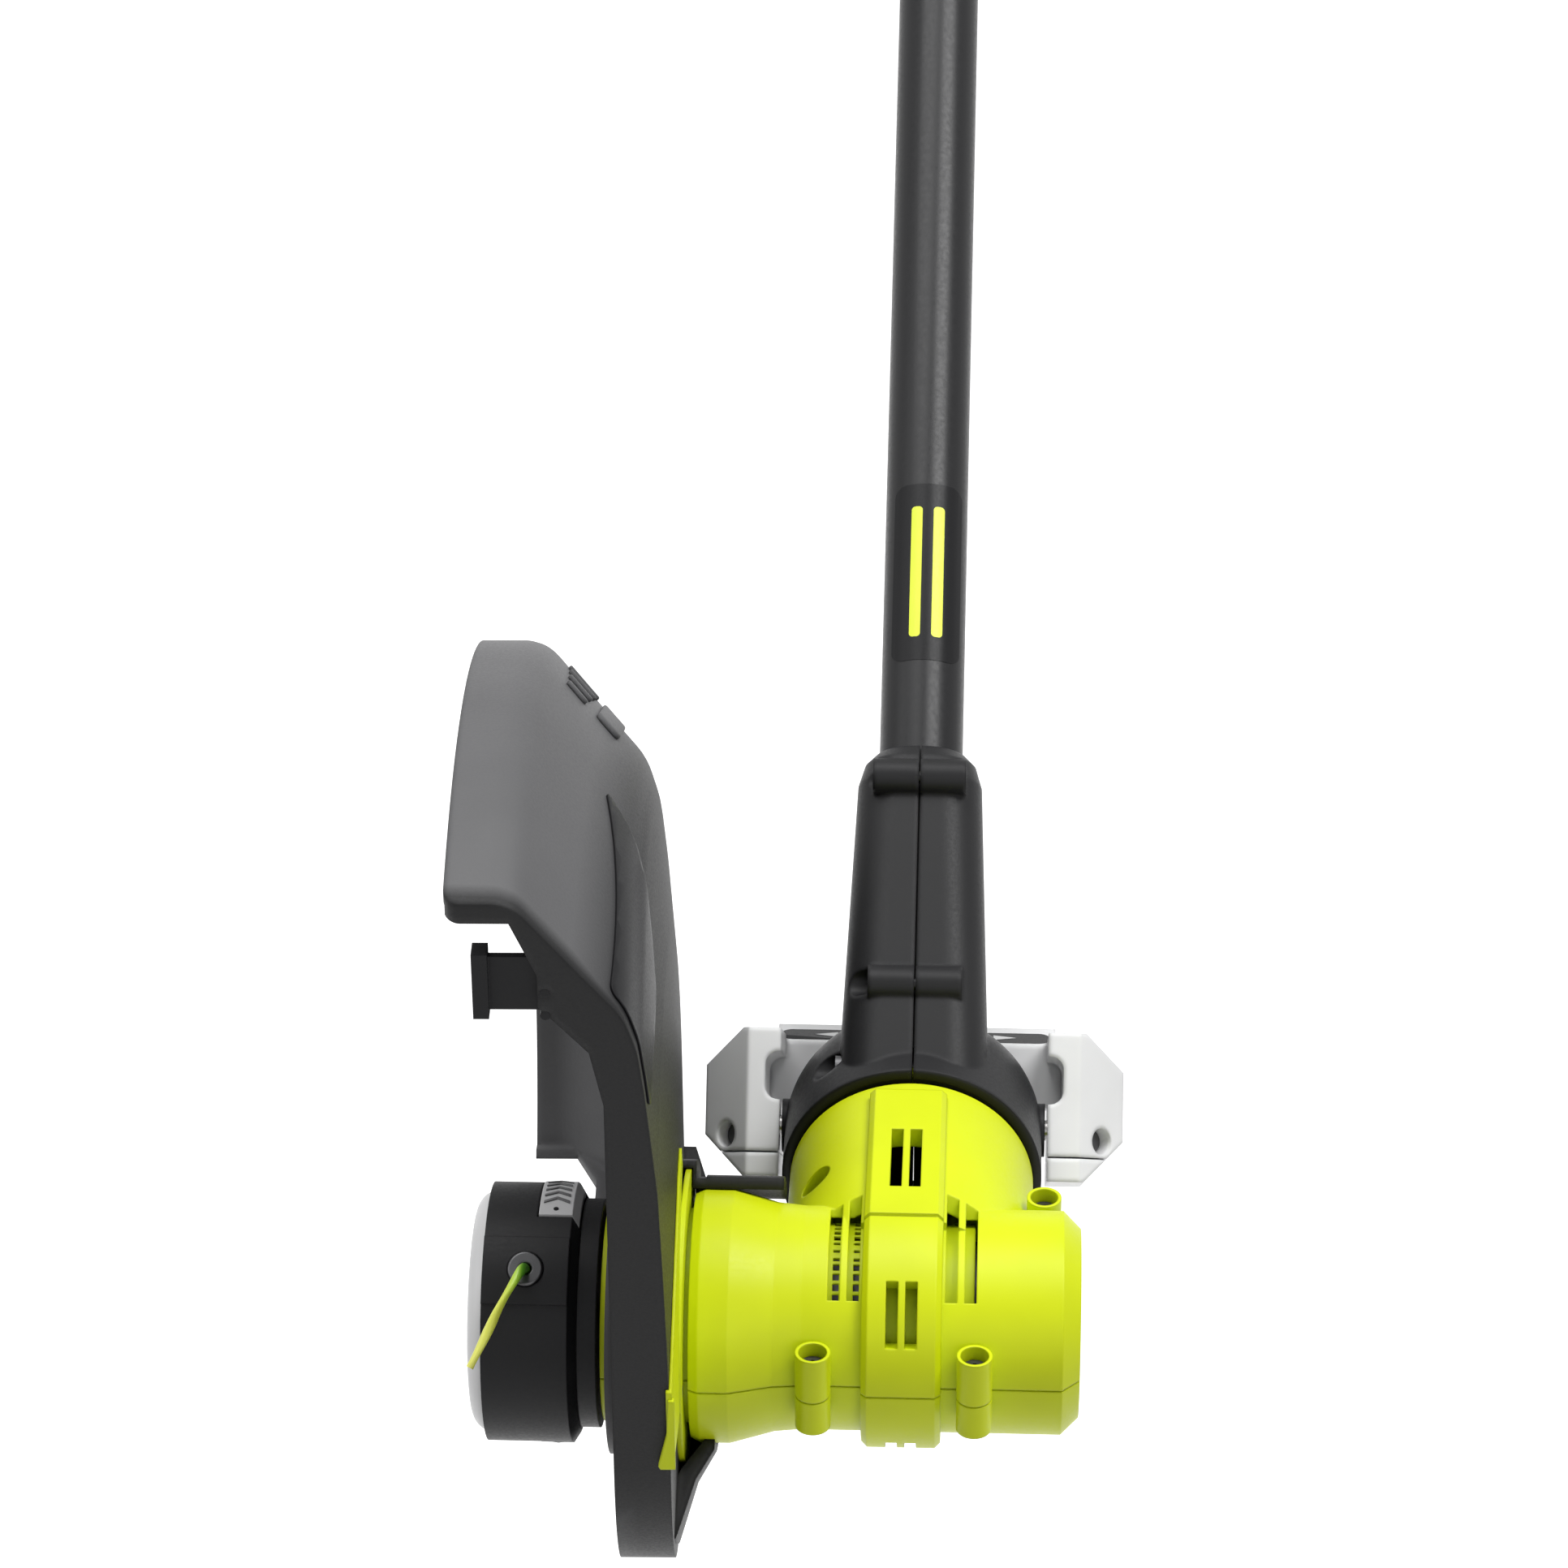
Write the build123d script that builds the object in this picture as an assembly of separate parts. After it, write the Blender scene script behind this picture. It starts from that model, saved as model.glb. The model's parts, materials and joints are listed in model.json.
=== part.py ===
from build123d import *
import os
from math import cos, pi, radians, sin, sqrt

os.makedirs("parts", exist_ok=True)

# String trimmer in the edging position, in millimetres and degrees.
# X runs along the spindle from the bump cap to the motor, -Y is forward, Z is up.
# The origin is the middle of the bump cap's flat face.

# Clearances
RUN = 0.05
SEAT = 0.02
PLAY = 0.4
SEAM = 0.5

# Layout of the three main axes
TWIST_X = 123.0
SHAFT_RISE = 36.0
SHAFT_FOOT = 62.0

# Spool head
BUMP_TRAVEL = 4.0
CAP_LENGTH = 7.2
CAP_ROUND = 6.0
CAP_WALL = 2.2
CAP_HUB_R = 8.0
DRUM_X = 4.5
DRUM_R = 36.9
DRUM_WALL = 2.0
DRUM_LENGTH = 24.2
DRUM_BEVEL = 2.3
DRUM_BEVEL_R = 33.2
DRUM_BACK = 4.5
HUB_R = 32.6
HUB_LENGTH = 5.5
HUB_FLOOR = 2.0
HUB_BOSS_R = 15.0
POCKET_R = 11.5
POCKET_CORE_R = 6.5
SPINDLE_R = 4.0
SPINDLE_X = 8.0
SPOOL_X = 10.0
SPOOL_LENGTH = 12.0
SPOOL_R = 30.5
SPOOL_CORE_R = 12.0
SPOOL_FLANGE = 1.5
WOUND_R = 26.0
SPRING_WIRE = 1.2
EYELET_X = 16.7
EYELET_ANGLE = 34.5
EYELET_R = 5.1
EYELET_BORE = 1.5
EYELET_STAND = 1.5
PATCH_WIDTH = 20.0
PATCH_RAISE = 0.8
LINE_R = 1.2
LINE_OUT = 7.0
LINE_BEND = 4.0
LINE_TIP = (3.0, -48.0, 16.5)
LATCH_ANGLE = -13.0
LATCH_X = 19.2
LATCH_WIDTH = 24.0
LATCH_DEPTH = 4.6
LATCH_RAISE = 0.4
LATCH_TRAVEL = 1.6

# Motor housing
NOSE_GAP = 1.0
NOSE_R = 30.6
BELL_X = 62.5
BELL_R = 36.2
BELL_BEVEL = 1.3
BELL_LENGTH = 11.0
BELL_TAPER = 12.5
BELL_RUNOUT = 8.0
BELL_STEP = 0.8
BARREL_R = 31.8
BARREL_END = 172.4
END_BEVEL = 5.0
HOUSING_WALL = 2.4
BAND_WIDTH = 22.4
BAND_SHIFT = -0.9
BAND_R = 36.4
BAND_TOP = 37.4
BAND_BEVEL = 1.6
BAND_STOP = 8.0
NECK_R = 36.0
NECK_END = 69.0
NECK_BEVEL = 3.0
STUB_R = 28.0
STUB_BORE = 20.0
FLANGE_R = 32.0
FLANGE_GAP = 7.2
FLANGE_THICK = 4.0
BOSS_R = 5.0
BOSS_BOTTOM = 11.0
BOSS_PLACES = ((97.6, -35.0, 14.5), (142.8, -35.0, 14.5), (96.0, 34.0, 14.5), (162.0, 35.0, 18.5))
SLOT_WIDTH = 3.4
SLOT_PITCH = 5.4
SIDE_SLOTS = (-17.4, 15.6)
SIDE_SLOT_FROM = -22.0
SIDE_SLOT_TO = 44.0
BAND_SLOT_FROM = 36.0
BAND_SLOT_TO = 66.0
BAND_VENT_FROM = 126.0
BAND_VENT_TO = 158.0
NECK_SLOT_FROM = 13.0
NECK_SLOT_TO = 41.0

# Motor
CAN_X = 82.0
CAN_R = 22.5
CAN_LENGTH = 56.0
CAN_WALL = 2.0
ENDBELL_LENGTH = 6.0
ARMATURE_R = 18.0
ARMATURE_LENGTH = 40.0
BEARING_R = 11.0
BEARING_LENGTH = 7.0
REAR_BEARING_R = 8.0
REAR_BEARING_LENGTH = 5.0
FAN_R = 26.0
FAN_LENGTH = 9.0
FAN_BLADES = 9
FAN_PLATE = 2.0
RIB_WIDTH = 3.0

# Guard
GUARD_R = 192.7
GUARD_EDGE_X = 1.8
GUARD_TILT = 1.6
GUARD_BACK_LEAN = 1.1
GUARD_BACK_Y = 96.0
GUARD_CURVE = (
    (1.0, 0.239),
    (2.1, 0.374),
    (3.8, 0.571),
    (6.7, 0.716),
    (8.3, 0.778),
    (11.7, 0.830),
    (21.5, 0.887),
    (40.3, 1.000),
)
GUARD_SHOULDER = 38.0
GUARD_SOFT_R = 20.0
GUARD_CORNER_R = 12.0
GUARD_WALL = 2.8
GUARD_SIDE = 70.0
GUARD_NEAR = 65.0
GUARD_END_ROUND = 4.5
GUARD_BAND = ((33.9, 0.893), (33.9, 0.846), (21.0, 0.778), (17.5, 0.700), (17.5, 0.000))
GUARD_HUB_R = 40.0
GUARD_CLEAR_R = 50.0
HUB_FACE_GAP = 2.0
GUARD_HUB_LENGTH = 20.0
SADDLE_FROM = 78.0
SADDLE_TO = 232.0
SADDLE_R = 65.0
SADDLE_REACH = 12.5
BRACKET_REACH = 3.0
BRACKET_R = 44.4
BRACKET_FROM = 26.0
BRACKET_TO = 60.0
ARM_REACH = 28.0
ARM_GAP = 2.9
ARM_R = 40.0
RETAINER_THICK = 1.6
RETAINER_R = 42.0
RETAINER_SKIN = 0.9
RETAINER_ARM = (
    (12.0, 49.8),
    (-3.0, 50.6),
    (-18.0, 47.6),
    (-30.5, 43.8),
    (-42.7, 38.0),
    (-53.0, 31.8),
    (-70.0, 20.5),
    (-70.0, -2.6),
    (-41.0, -2.6),
    (-38.5, 15.5),
    (-28.5, 30.3),
    (-12.0, 40.0),
    (11.0, 44.5),
)
RETAINER_TAB = ((59.1, 21.0), (57.4, 21.0), (56.8, 9.0), (54.4, -1.5), (55.0, -2.6), (59.1, -2.6))
RETAINER_TAB_THICK = 1.8
CUTTER_DROP = 26.2
CUTTER_X = 8.5
CUTTER_REACH = 21.6
CUTTER_HEIGHT = 16.5
CUTTER_FLANGE = 4.2
CUTTER_FLANGE_HEIGHT = 20.0
CUTTER_THICK = 2.0
RIVET_R = 1.4
RIVET_HEAD_R = 2.2
RIVET_HEAD = 1.2
RIVET_PITCH = 7.0
RIVET_DROP = 4.8

# Twist yoke
YOKE_R = 38.5
YOKE_LIP = 3.0
YOKE_STRAIGHT = 22.0
YOKE_DOME = 33.0
YOKE_WELL = 2.0
YOKE_CAVITY_R = 24.0
YOKE_CAVITY_DEPTH = 9.0
YOKE_TOP = 137.0
YOKE_CROWN = 133.0
YOKE_SHOULDER = 126.0
YOKE_ROOT = 25.0
ROOT_WIDTH = 45.0
ROOT_DEPTH = 44.0
TOP_WIDTH = 37.6
TOP_DEPTH = 37.0
CROWN_WIDTH = 34.0
RIM_WIDTH = 28.5
SOCKET_FLOOR = 41.0
LEAD_HOLE_R = 3.0
BARREL_BOSS_R = 5.5
BARREL_BOSS_LENGTH = 28.0
BARREL_BOSS_Y = -18.5
BARREL_BOSS_Z = (58.5, 125.0)
YOKE_SCREW_Y = 84.5
YOKE_SCREW_TOP = 28.5
YOKE_SCREW_BOTTOM = -33.0
EAR_R = 8.0
EAR_REACH = 39.4
PIVOT_Y = 94.5
LOCK_R = 3.0
LOCK_OFFSET = 26.0
LOCK_LENGTH = 11.0
LOCK_POCKET = 19.5

# Foot pedal, in its own plane that leans back by its tilt
PEDAL_TILT = 37.4
PEDAL_HALF = 63.0
PEDAL_FRONT = -7.0
PEDAL_SIDE = 12.0
PEDAL_BACK = 50.0
PEDAL_TAIL = 48.0
PEDAL_TOP = 29.0
PEDAL_SHOULDER = (11.5, 11.0)
PEDAL_HEEL = (12.0, 12.5)
PEDAL_BOTTOM = -15.5
PEDAL_PARTING = -8.0
PEDAL_WALL = 2.6
PEDAL_CORNER = 13.0
PEDAL_BAR_FRONT = 32.0
PEDAL_BAR_BOTTOM = 8.0
PEDAL_BAR_TOP = 33.0
PEDAL_BAR_SLOPE = (12.0, 6.0)
PEDAL_SOLID = 12.0
PEDAL_SCOOP = 4.6
PEDAL_SCOOP_LOW = 7.5
PEDAL_SCOOP_HIGH = 22.0
PEDAL_SCREW_V = -3.0
PIN_R = 3.0
PIN_HOLD = 6.5
PIN_SHARE = 0.66

# Screws
SCREW_R = 1.8
SCREW_HEAD_R = 3.4
SCREW_HEAD = 2.4
RECESS_R = 4.0
RECESS_DEPTH = 4.0

# Tubes and the length clamp, along the shaft from its foot
TUBE_R = 12.7
TUBE_WALL = 1.2
TUBE_TOP = 700.0
UPPER_WALL = 2.0
UPPER_FOOT = 560.0
COLLAR_R = 20.0
COLLAR_LIP = 12.0
COLLAR_LENGTH = 48.0
LUG_X = 25.0
LUG_HALF = 8.0
LUG_WIDTH = 22.0
CLAMP_SLOT = 3.0
CLAMP_BOLT_R = 3.0
LEVER_BARREL_R = 5.0
LEVER_THICK = 4.0
LEVER_REACH = 40.0
LEVER_PIN_R = 2.0
LEVER_FORK = 7.0

# Front loop handle
BRACKET_SET = 210.0
BRACKET_LENGTH = 36.0
HANDLE_BRACKET_R = 21.0
TILT_Y = -31.0
TILT_LUG_R = 9.0
TILT_LUG = 5.0
TILT_HUB_HALF = 6.5
TILT_STEM = 16.0
LOOP_R = 9.0
LOOP_HALF = 64.0
LOOP_FOOT_Y = -54.0
LOOP_TOP_Y = -150.0
LOOP_CORNER = 30.0
GRIP_LENGTH = 62.0
GRIP_THICK = 2.5
HANDLE_BOLT_R = 3.0
KNOB_R = 12.0
KNOB_LENGTH = 16.0
KNOB_LOBES = 5
KNOB_SCALLOP_R = 4.0

# Rear handle
HANDLE_GAP = 74.0
HANDLE_SOCKET = 43.0
HANDLE_HALF = 18.0
HANDLE_WALL = 3.0
SLEEVE_HALF = 22.0
SLEEVE_LENGTH = 50.0
GRIP_TOP = -19.0
GRIP_UNDER = 14.0
GUARD_BAR_Y = 64.0
GUARD_BAR = 13.0
WINDOW_GAP = 22.0
WINDOW_LENGTH = 98.0
DOCK_GAP = 16.0
DOCK_LENGTH = 56.0
DOCK_TOP = -30.0
CAVITY_HALF = 13.0
TRIGGER_SET = 16.0
TRIGGER_LENGTH = 40.0
TRIGGER_DROP = 13.0
TRIGGER_HALF = 8.0
TRIGGER_PIN_R = 2.5
SWITCH_SET = 8.0
SWITCH_LENGTH = 30.0
SWITCH_DEPTH = 12.0
LOCKOFF_SET = 4.0
LOCKOFF_R = 7.0
LOCKOFF_RAISE = 4.0
LOCKOFF_FLANGE = 1.0
POST_HALF = 14.0
POST_TOP = -8.0
POST_UNDER = 24.0
POST_LENGTH = 44.0
HANG_R = 5.0
HANG_EDGE = 12.0

# Battery
BATTERY_HALF = 40.0
BATTERY_TOP = -34.0
BATTERY_UNDER = 60.0
BATTERY_LENGTH = 58.0
BATTERY_LID = 16.0
BATTERY_WALL = 2.6
BATTERY_ROUND = 7.0
CELL_R = 9.2
BATTERY_LATCH_WIDTH = 26.0
BATTERY_LATCH_HEIGHT = 18.0
BATTERY_LATCH_DEPTH = 5.0
BATTERY_LATCH_RAISE = 1.4
BATTERY_LATCH_TRAVEL = 2.0

# Sizes that follow from the ones above
DRUM_BORE = DRUM_R - DRUM_WALL
CAP_R = DRUM_BORE - PLAY
DRUM_BEVEL_X = DRUM_X + DRUM_LENGTH
DRUM_END = DRUM_BEVEL_X + DRUM_BEVEL
DRUM_FLOOR = DRUM_END - DRUM_BACK
HUB_END = DRUM_END + HUB_LENGTH
POCKET_END = HUB_END - HUB_FLOOR
SPOOL_END = SPOOL_X + SPOOL_LENGTH
NOSE_X = HUB_END + NOSE_GAP
TAPER_X = BELL_X + BELL_LENGTH
BARREL_X = TAPER_X + BELL_TAPER
BEARING_X = BELL_X + HOUSING_WALL
CAN_END = CAN_X + CAN_LENGTH
ENDBELL_END = CAN_END + ENDBELL_LENGTH
REAR_BEARING_END = ENDBELL_END + REAR_BEARING_LENGTH
FAN_X = REAR_BEARING_END + PLAY * 4
FAN_END = FAN_X + FAN_LENGTH
SPINDLE_END = FAN_END + PLAY
FLANGE_Y = NECK_END + FLANGE_GAP
FLANGE_END = FLANGE_Y + FLANGE_THICK
GUARD_HUB_X = NOSE_X + HUB_FACE_GAP
GUARD_TOP_X = GUARD_HUB_X + GUARD_HUB_LENGTH
RETAINER_END = GUARD_TOP_X + RETAINER_THICK
CUTTER_Z = sqrt(GUARD_R**2 - GUARD_NEAR**2) - CUTTER_DROP
RIVET_Z = CUTTER_Z - RIVET_DROP
YOKE_SHOULDER_Y = NECK_END + YOKE_STRAIGHT
YOKE_BACK = YOKE_SHOULDER_Y + YOKE_DOME
GROOVE_END = FLANGE_END + PLAY / 2
UPPER_BORE = TUBE_R + RUN
UPPER_R = UPPER_BORE + UPPER_WALL
COLLAR_FOOT = UPPER_FOOT - COLLAR_LIP
BRACKET_Z = UPPER_FOOT + BRACKET_SET
HANDLE_FOOT = BRACKET_Z + BRACKET_LENGTH / 2 + HANDLE_GAP
UPPER_TOP = HANDLE_FOOT + HANDLE_SOCKET
SLEEVE_END = HANDLE_FOOT + SLEEVE_LENGTH
WINDOW_Z = SLEEVE_END + WINDOW_GAP
WINDOW_END = WINDOW_Z + WINDOW_LENGTH
DOCK_Z = WINDOW_END + DOCK_GAP
DOCK_END = DOCK_Z + DOCK_LENGTH
TRIGGER_Z = WINDOW_Z + TRIGGER_SET
SWITCH_Z = TRIGGER_Z + SWITCH_SET
LOCKOFF_Z = WINDOW_Z - LOCKOFF_SET
BATTERY_Z = DOCK_END + PLAY
BATTERY_END = BATTERY_Z + BATTERY_LENGTH
POST_FLOOR = BATTERY_Z - POST_LENGTH
BIG = 600.0

SHAFT = Plane(
    origin=(TWIST_X, SHAFT_FOOT, 0),
    x_dir=(1, 0, 0),
    z_dir=(0, cos(radians(SHAFT_RISE)), sin(radians(SHAFT_RISE))),
)
PEDAL = Plane(
    origin=(TWIST_X, PIVOT_Y, 0),
    x_dir=(1, 0, 0),
    z_dir=(0, sin(radians(PEDAL_TILT)), cos(radians(PEDAL_TILT))),
)


# Basic shapes
def block(x0, x1, y0, y1, z0, z1):
    middle = Pos((x0 + x1) / 2, (y0 + y1) / 2, (z0 + z1) / 2)
    return middle * Box(x1 - x0, y1 - y0, z1 - z0)


def rod_x(x0, x1, radius, y=0.0, z=0.0):
    return Pos((x0 + x1) / 2, y, z) * Rot(0, 90, 0) * Cylinder(radius, x1 - x0)


def rod_y(y0, y1, radius, x=0.0, z=0.0):
    return Pos(x, (y0 + y1) / 2, z) * Rot(90, 0, 0) * Cylinder(radius, y1 - y0)


def rod_z(z0, z1, radius, x=0.0, y=0.0):
    return Pos(x, y, (z0 + z1) / 2) * Cylinder(radius, z1 - z0)


def turned_x(points):
    outline = Polyline(*[(x, r, 0) for x, r in points], close=True)
    return revolve(make_face(outline), Axis.X, 360)


def turned_twist(points):
    outline = Polyline(*[(TWIST_X + r, y, 0) for y, r in points], close=True)
    return revolve(make_face(outline), Axis((TWIST_X, 0, 0), (0, 1, 0)), 360)


def wedge_x(from_angle, to_angle, x0, x1, radius):
    steps = 6
    corners = [(0, 0)]
    for i in range(steps + 1):
        angle = radians(from_angle + (to_angle - from_angle) * i / steps)
        corners.append((radius * sin(angle), radius * cos(angle)))
    outline = Polyline(*[(x0, y, z) for y, z in corners], close=True)
    return extrude(make_face(outline), amount=x1 - x0, dir=(1, 0, 0))


def on_shaft(shape):
    return SHAFT.location * shape


def on_pedal(shape):
    return PEDAL.location * shape


def at_angle(angle, shape):
    return Rot(angle, 0, 0) * shape


def side_plate(outline, half):
    face = Plane(origin=(-half, 0, 0), x_dir=(0, 1, 0), z_dir=(1, 0, 0)) * make_face(outline)
    return extrude(face, amount=2 * half, dir=(1, 0, 0))


def both_sides(shape):
    return shape + mirror(shape, about=Plane.YZ)


def spring(start, end, radius, wire):
    return rod_z(start, end, radius) - rod_z(start, end, radius - wire)


def screw_z(top, length):
    head = rod_z(top - SCREW_HEAD, top, SCREW_HEAD_R)
    slot = block(-SCREW_HEAD_R / 2, SCREW_HEAD_R / 2, -0.5, 0.5, top - SCREW_HEAD / 2, top)
    cross = Rot(0, 0, 90) * slot
    return head + rod_z(top - length, top - SCREW_HEAD, SCREW_R) - slot - cross


def save(name, shape):
    export_step(shape, f"parts/{name}.step")


# Spool head
def bump_cap():
    cup = fillet(rod_x(0, CAP_LENGTH, CAP_R).edges().group_by(Axis.X)[0], CAP_ROUND)
    hollow = rod_x(CAP_WALL, CAP_LENGTH, CAP_R - CAP_WALL)
    hollow = fillet(hollow.edges().group_by(Axis.X)[0], CAP_ROUND - CAP_WALL)
    hub = rod_x(CAP_WALL, SPOOL_X, CAP_HUB_R)
    room = rod_x(SPINDLE_X - BUMP_TRAVEL - PLAY, SPOOL_X, SPINDLE_R + PLAY)
    return cup - hollow + hub - room


def latch_body(grow, sink):
    outer = DRUM_R + LATCH_RAISE
    inner = outer - LATCH_DEPTH - sink
    first = LATCH_X - grow
    last = DRUM_END - PLAY + grow * 2
    side = LATCH_WIDTH / 2 + grow
    fall = (last - DRUM_BEVEL_X) * (DRUM_R - DRUM_BEVEL_R) / DRUM_BEVEL
    ring = turned_x(
        [(first, inner), (first, outer), (DRUM_BEVEL_X, outer), (last, outer - fall), (last, inner)]
    )
    return ring & block(first, last, -side, side, 0, 2 * outer)


def drum_latch(angle):
    return at_angle(angle, latch_body(0, 0))


def drum():
    body = turned_x(
        [(DRUM_X, 0), (DRUM_X, DRUM_R), (DRUM_BEVEL_X, DRUM_R), (DRUM_END, DRUM_BEVEL_R), (DRUM_END, 0)]
    )
    patch = rod_x(DRUM_X, DRUM_BEVEL_X, DRUM_R + PATCH_RAISE)
    patch = patch & block(0, DRUM_END, -PATCH_WIDTH / 2, PATCH_WIDTH / 2, 0, 2 * DRUM_R)
    body = body + at_angle(EYELET_ANGLE, patch)
    body = body - rod_x(DRUM_X, DRUM_FLOOR, DRUM_BORE) - rod_x(DRUM_X, DRUM_END, HUB_BOSS_R + SEAT)
    body = body - at_angle(EYELET_ANGLE, rod_z(DRUM_BORE / 2, 2 * DRUM_R, EYELET_R + SEAT, EYELET_X))
    for angle in (LATCH_ANGLE, LATCH_ANGLE + 180):
        body = body - at_angle(angle, latch_body(PLAY, LATCH_TRAVEL + PLAY))
    return body


def drive_hub():
    body = rod_x(DRUM_END, HUB_END, HUB_R) + rod_x(DRUM_FLOOR, DRUM_END, HUB_BOSS_R)
    pocket = rod_x(DRUM_FLOOR, POCKET_END, POCKET_R) - rod_x(DRUM_FLOOR, POCKET_END, POCKET_CORE_R)
    return body - pocket - rod_x(DRUM_FLOOR, HUB_END, SPINDLE_R + SEAT)


def line_spool():
    core = rod_x(SPOOL_X, SPOOL_END, SPOOL_CORE_R)
    core = core + rod_x(SPOOL_X, SPOOL_X + SPOOL_FLANGE, SPOOL_R)
    core = core + rod_x(SPOOL_END - SPOOL_FLANGE, SPOOL_END, SPOOL_R)
    return core - rod_x(SPOOL_X, SPOOL_END, SPINDLE_R + RUN)


def wound_line():
    first = SPOOL_X + SPOOL_FLANGE
    last = SPOOL_END - SPOOL_FLANGE
    return rod_x(first, last, WOUND_R) - rod_x(first, last, SPOOL_CORE_R + SEAT)


def bump_spring():
    coil = spring(SPOOL_END, POCKET_END, POCKET_R - PLAY, SPRING_WIRE)
    return Rot(0, 90, 0) * coil


def eyelet():
    top = DRUM_R + EYELET_STAND
    foot = DRUM_BORE - PLAY
    ring = rod_z(foot, top, EYELET_R, EYELET_X) - rod_z(foot, top, EYELET_BORE, EYELET_X)
    rim = ring.edges().group_by(Axis.Z)[-1]
    return at_angle(EYELET_ANGLE, fillet(rim, EYELET_STAND / 2))


def trimmer_line():
    turn = radians(EYELET_ANGLE)
    start = (EYELET_X, -DRUM_BORE * sin(turn), DRUM_BORE * cos(turn))
    reach = DRUM_R + LINE_OUT
    knee = (EYELET_X, -reach * sin(turn), reach * cos(turn))
    path = FilletPolyline(start, knee, LINE_TIP, radius=LINE_BEND)
    section = Plane(origin=start, z_dir=(0, -sin(turn), cos(turn))) * Circle(LINE_R)
    return sweep(section, path=path)


# Motor and its spindle
def spindle():
    return rod_x(SPINDLE_X, SPINDLE_END, SPINDLE_R)


def armature():
    middle = (CAN_X + CAN_END) / 2
    core = rod_x(middle - ARMATURE_LENGTH / 2, middle + ARMATURE_LENGTH / 2, ARMATURE_R)
    return core - rod_x(CAN_X, CAN_END, SPINDLE_R + SEAT)


def motor_can():
    shell = rod_x(CAN_X, CAN_END, CAN_R) - rod_x(CAN_X + CAN_WALL, CAN_END, CAN_R - CAN_WALL)
    return shell - rod_x(CAN_X, CAN_END, SPINDLE_R + CAN_WALL)


def motor_end_bell():
    plate = rod_x(CAN_END, ENDBELL_END, CAN_R)
    seat = rod_x(CAN_END, REAR_BEARING_END, REAR_BEARING_R + CAN_WALL)
    plate = plate + seat - rod_x(ENDBELL_END, REAR_BEARING_END, REAR_BEARING_R + SEAT)
    return plate - rod_x(CAN_END, REAR_BEARING_END, SPINDLE_R + CAN_WALL)


def bearing(start, length, radius):
    ring = rod_x(start, start + length, radius)
    return ring - rod_x(start, start + length, SPINDLE_R + RUN)


def cooling_fan():
    fan = rod_x(FAN_X, FAN_X + FAN_PLATE, FAN_R) + rod_x(FAN_X, FAN_END, SPINDLE_R * 2)
    for i in range(FAN_BLADES):
        blade = block(FAN_X, FAN_END, -FAN_PLATE / 2, FAN_PLATE / 2, SPINDLE_R, FAN_R - FAN_PLATE)
        fan = fan + at_angle(i * 360 / FAN_BLADES, blade)
    return fan - rod_x(FAN_X, FAN_END, SPINDLE_R + SEAT)


# Motor housing, split at the spindle's level
def housing_band():
    half = BAND_WIDTH / 2
    first = TWIST_X + BAND_SHIFT - half
    last = TWIST_X + BAND_SHIFT + half
    hoop = rod_x(first, last, BAND_R)
    strap = block(first, last, 0, NECK_END - BAND_STOP, 0, BAND_TOP)
    hoop = chamfer(hoop.edges().filter_by(GeomType.CIRCLE), BAND_BEVEL)
    top = strap.edges().group_by(Axis.Z)[-1].filter_by(Axis.Y)
    return hoop + chamfer(top, BAND_BEVEL)


def housing_cavity():
    wall = HOUSING_WALL
    nose = rod_x(NOSE_X + wall, BELL_X - wall, NOSE_R - wall)
    bearing_seat = rod_x(BELL_X, BEARING_X + BEARING_LENGTH, BEARING_R + SEAT)
    body = turned_x(
        [
            (BEARING_X + BEARING_LENGTH + wall, 0),
            (BEARING_X + BEARING_LENGTH + wall, BELL_R - wall * 2),
            (BARREL_X, BARREL_R - wall),
            (BARREL_END - END_BEVEL, BARREL_R - wall),
            (BARREL_END - wall, BARREL_R - wall - END_BEVEL),
            (BARREL_END - wall, 0),
        ]
    )
    through = rod_x(NOSE_X, BARREL_X, SPINDLE_R * 2)
    return nose + bearing_seat + body + through + rod_y(0, NECK_END - wall, NECK_R - wall * 2, TWIST_X)


def slot_arc(x, radius, from_angle, to_angle):
    first = x - SLOT_WIDTH / 2
    last = x + SLOT_WIDTH / 2
    ring = rod_x(first, last, radius * 2) - rod_x(first, last, radius - HOUSING_WALL * 3)
    return ring & wedge_x(-to_angle, -from_angle, first, last, radius * 3)


def housing_slots():
    half = SLOT_PITCH / 2
    cuts = None
    for x in (-half, half):
        pieces = [
            slot_arc(TWIST_X + SIDE_SLOTS[0] + x, BARREL_R, SIDE_SLOT_FROM, SIDE_SLOT_TO),
            slot_arc(TWIST_X + SIDE_SLOTS[1] + x, BARREL_R, SIDE_SLOT_FROM, SIDE_SLOT_TO),
            slot_arc(TWIST_X + BAND_SHIFT + x, BAND_R, BAND_SLOT_FROM, BAND_SLOT_TO),
            slot_arc(TWIST_X + BAND_SHIFT + x, BAND_R, BAND_VENT_FROM, BAND_VENT_TO),
            block(
                TWIST_X + BAND_SHIFT + x - SLOT_WIDTH / 2,
                TWIST_X + BAND_SHIFT + x + SLOT_WIDTH / 2,
                NECK_SLOT_FROM,
                NECK_SLOT_TO,
                NECK_R - HOUSING_WALL * 4,
                BAND_TOP + HOUSING_WALL,
            ),
        ]
        for piece in pieces:
            cuts = piece if cuts is None else cuts + piece
    return cuts


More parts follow.
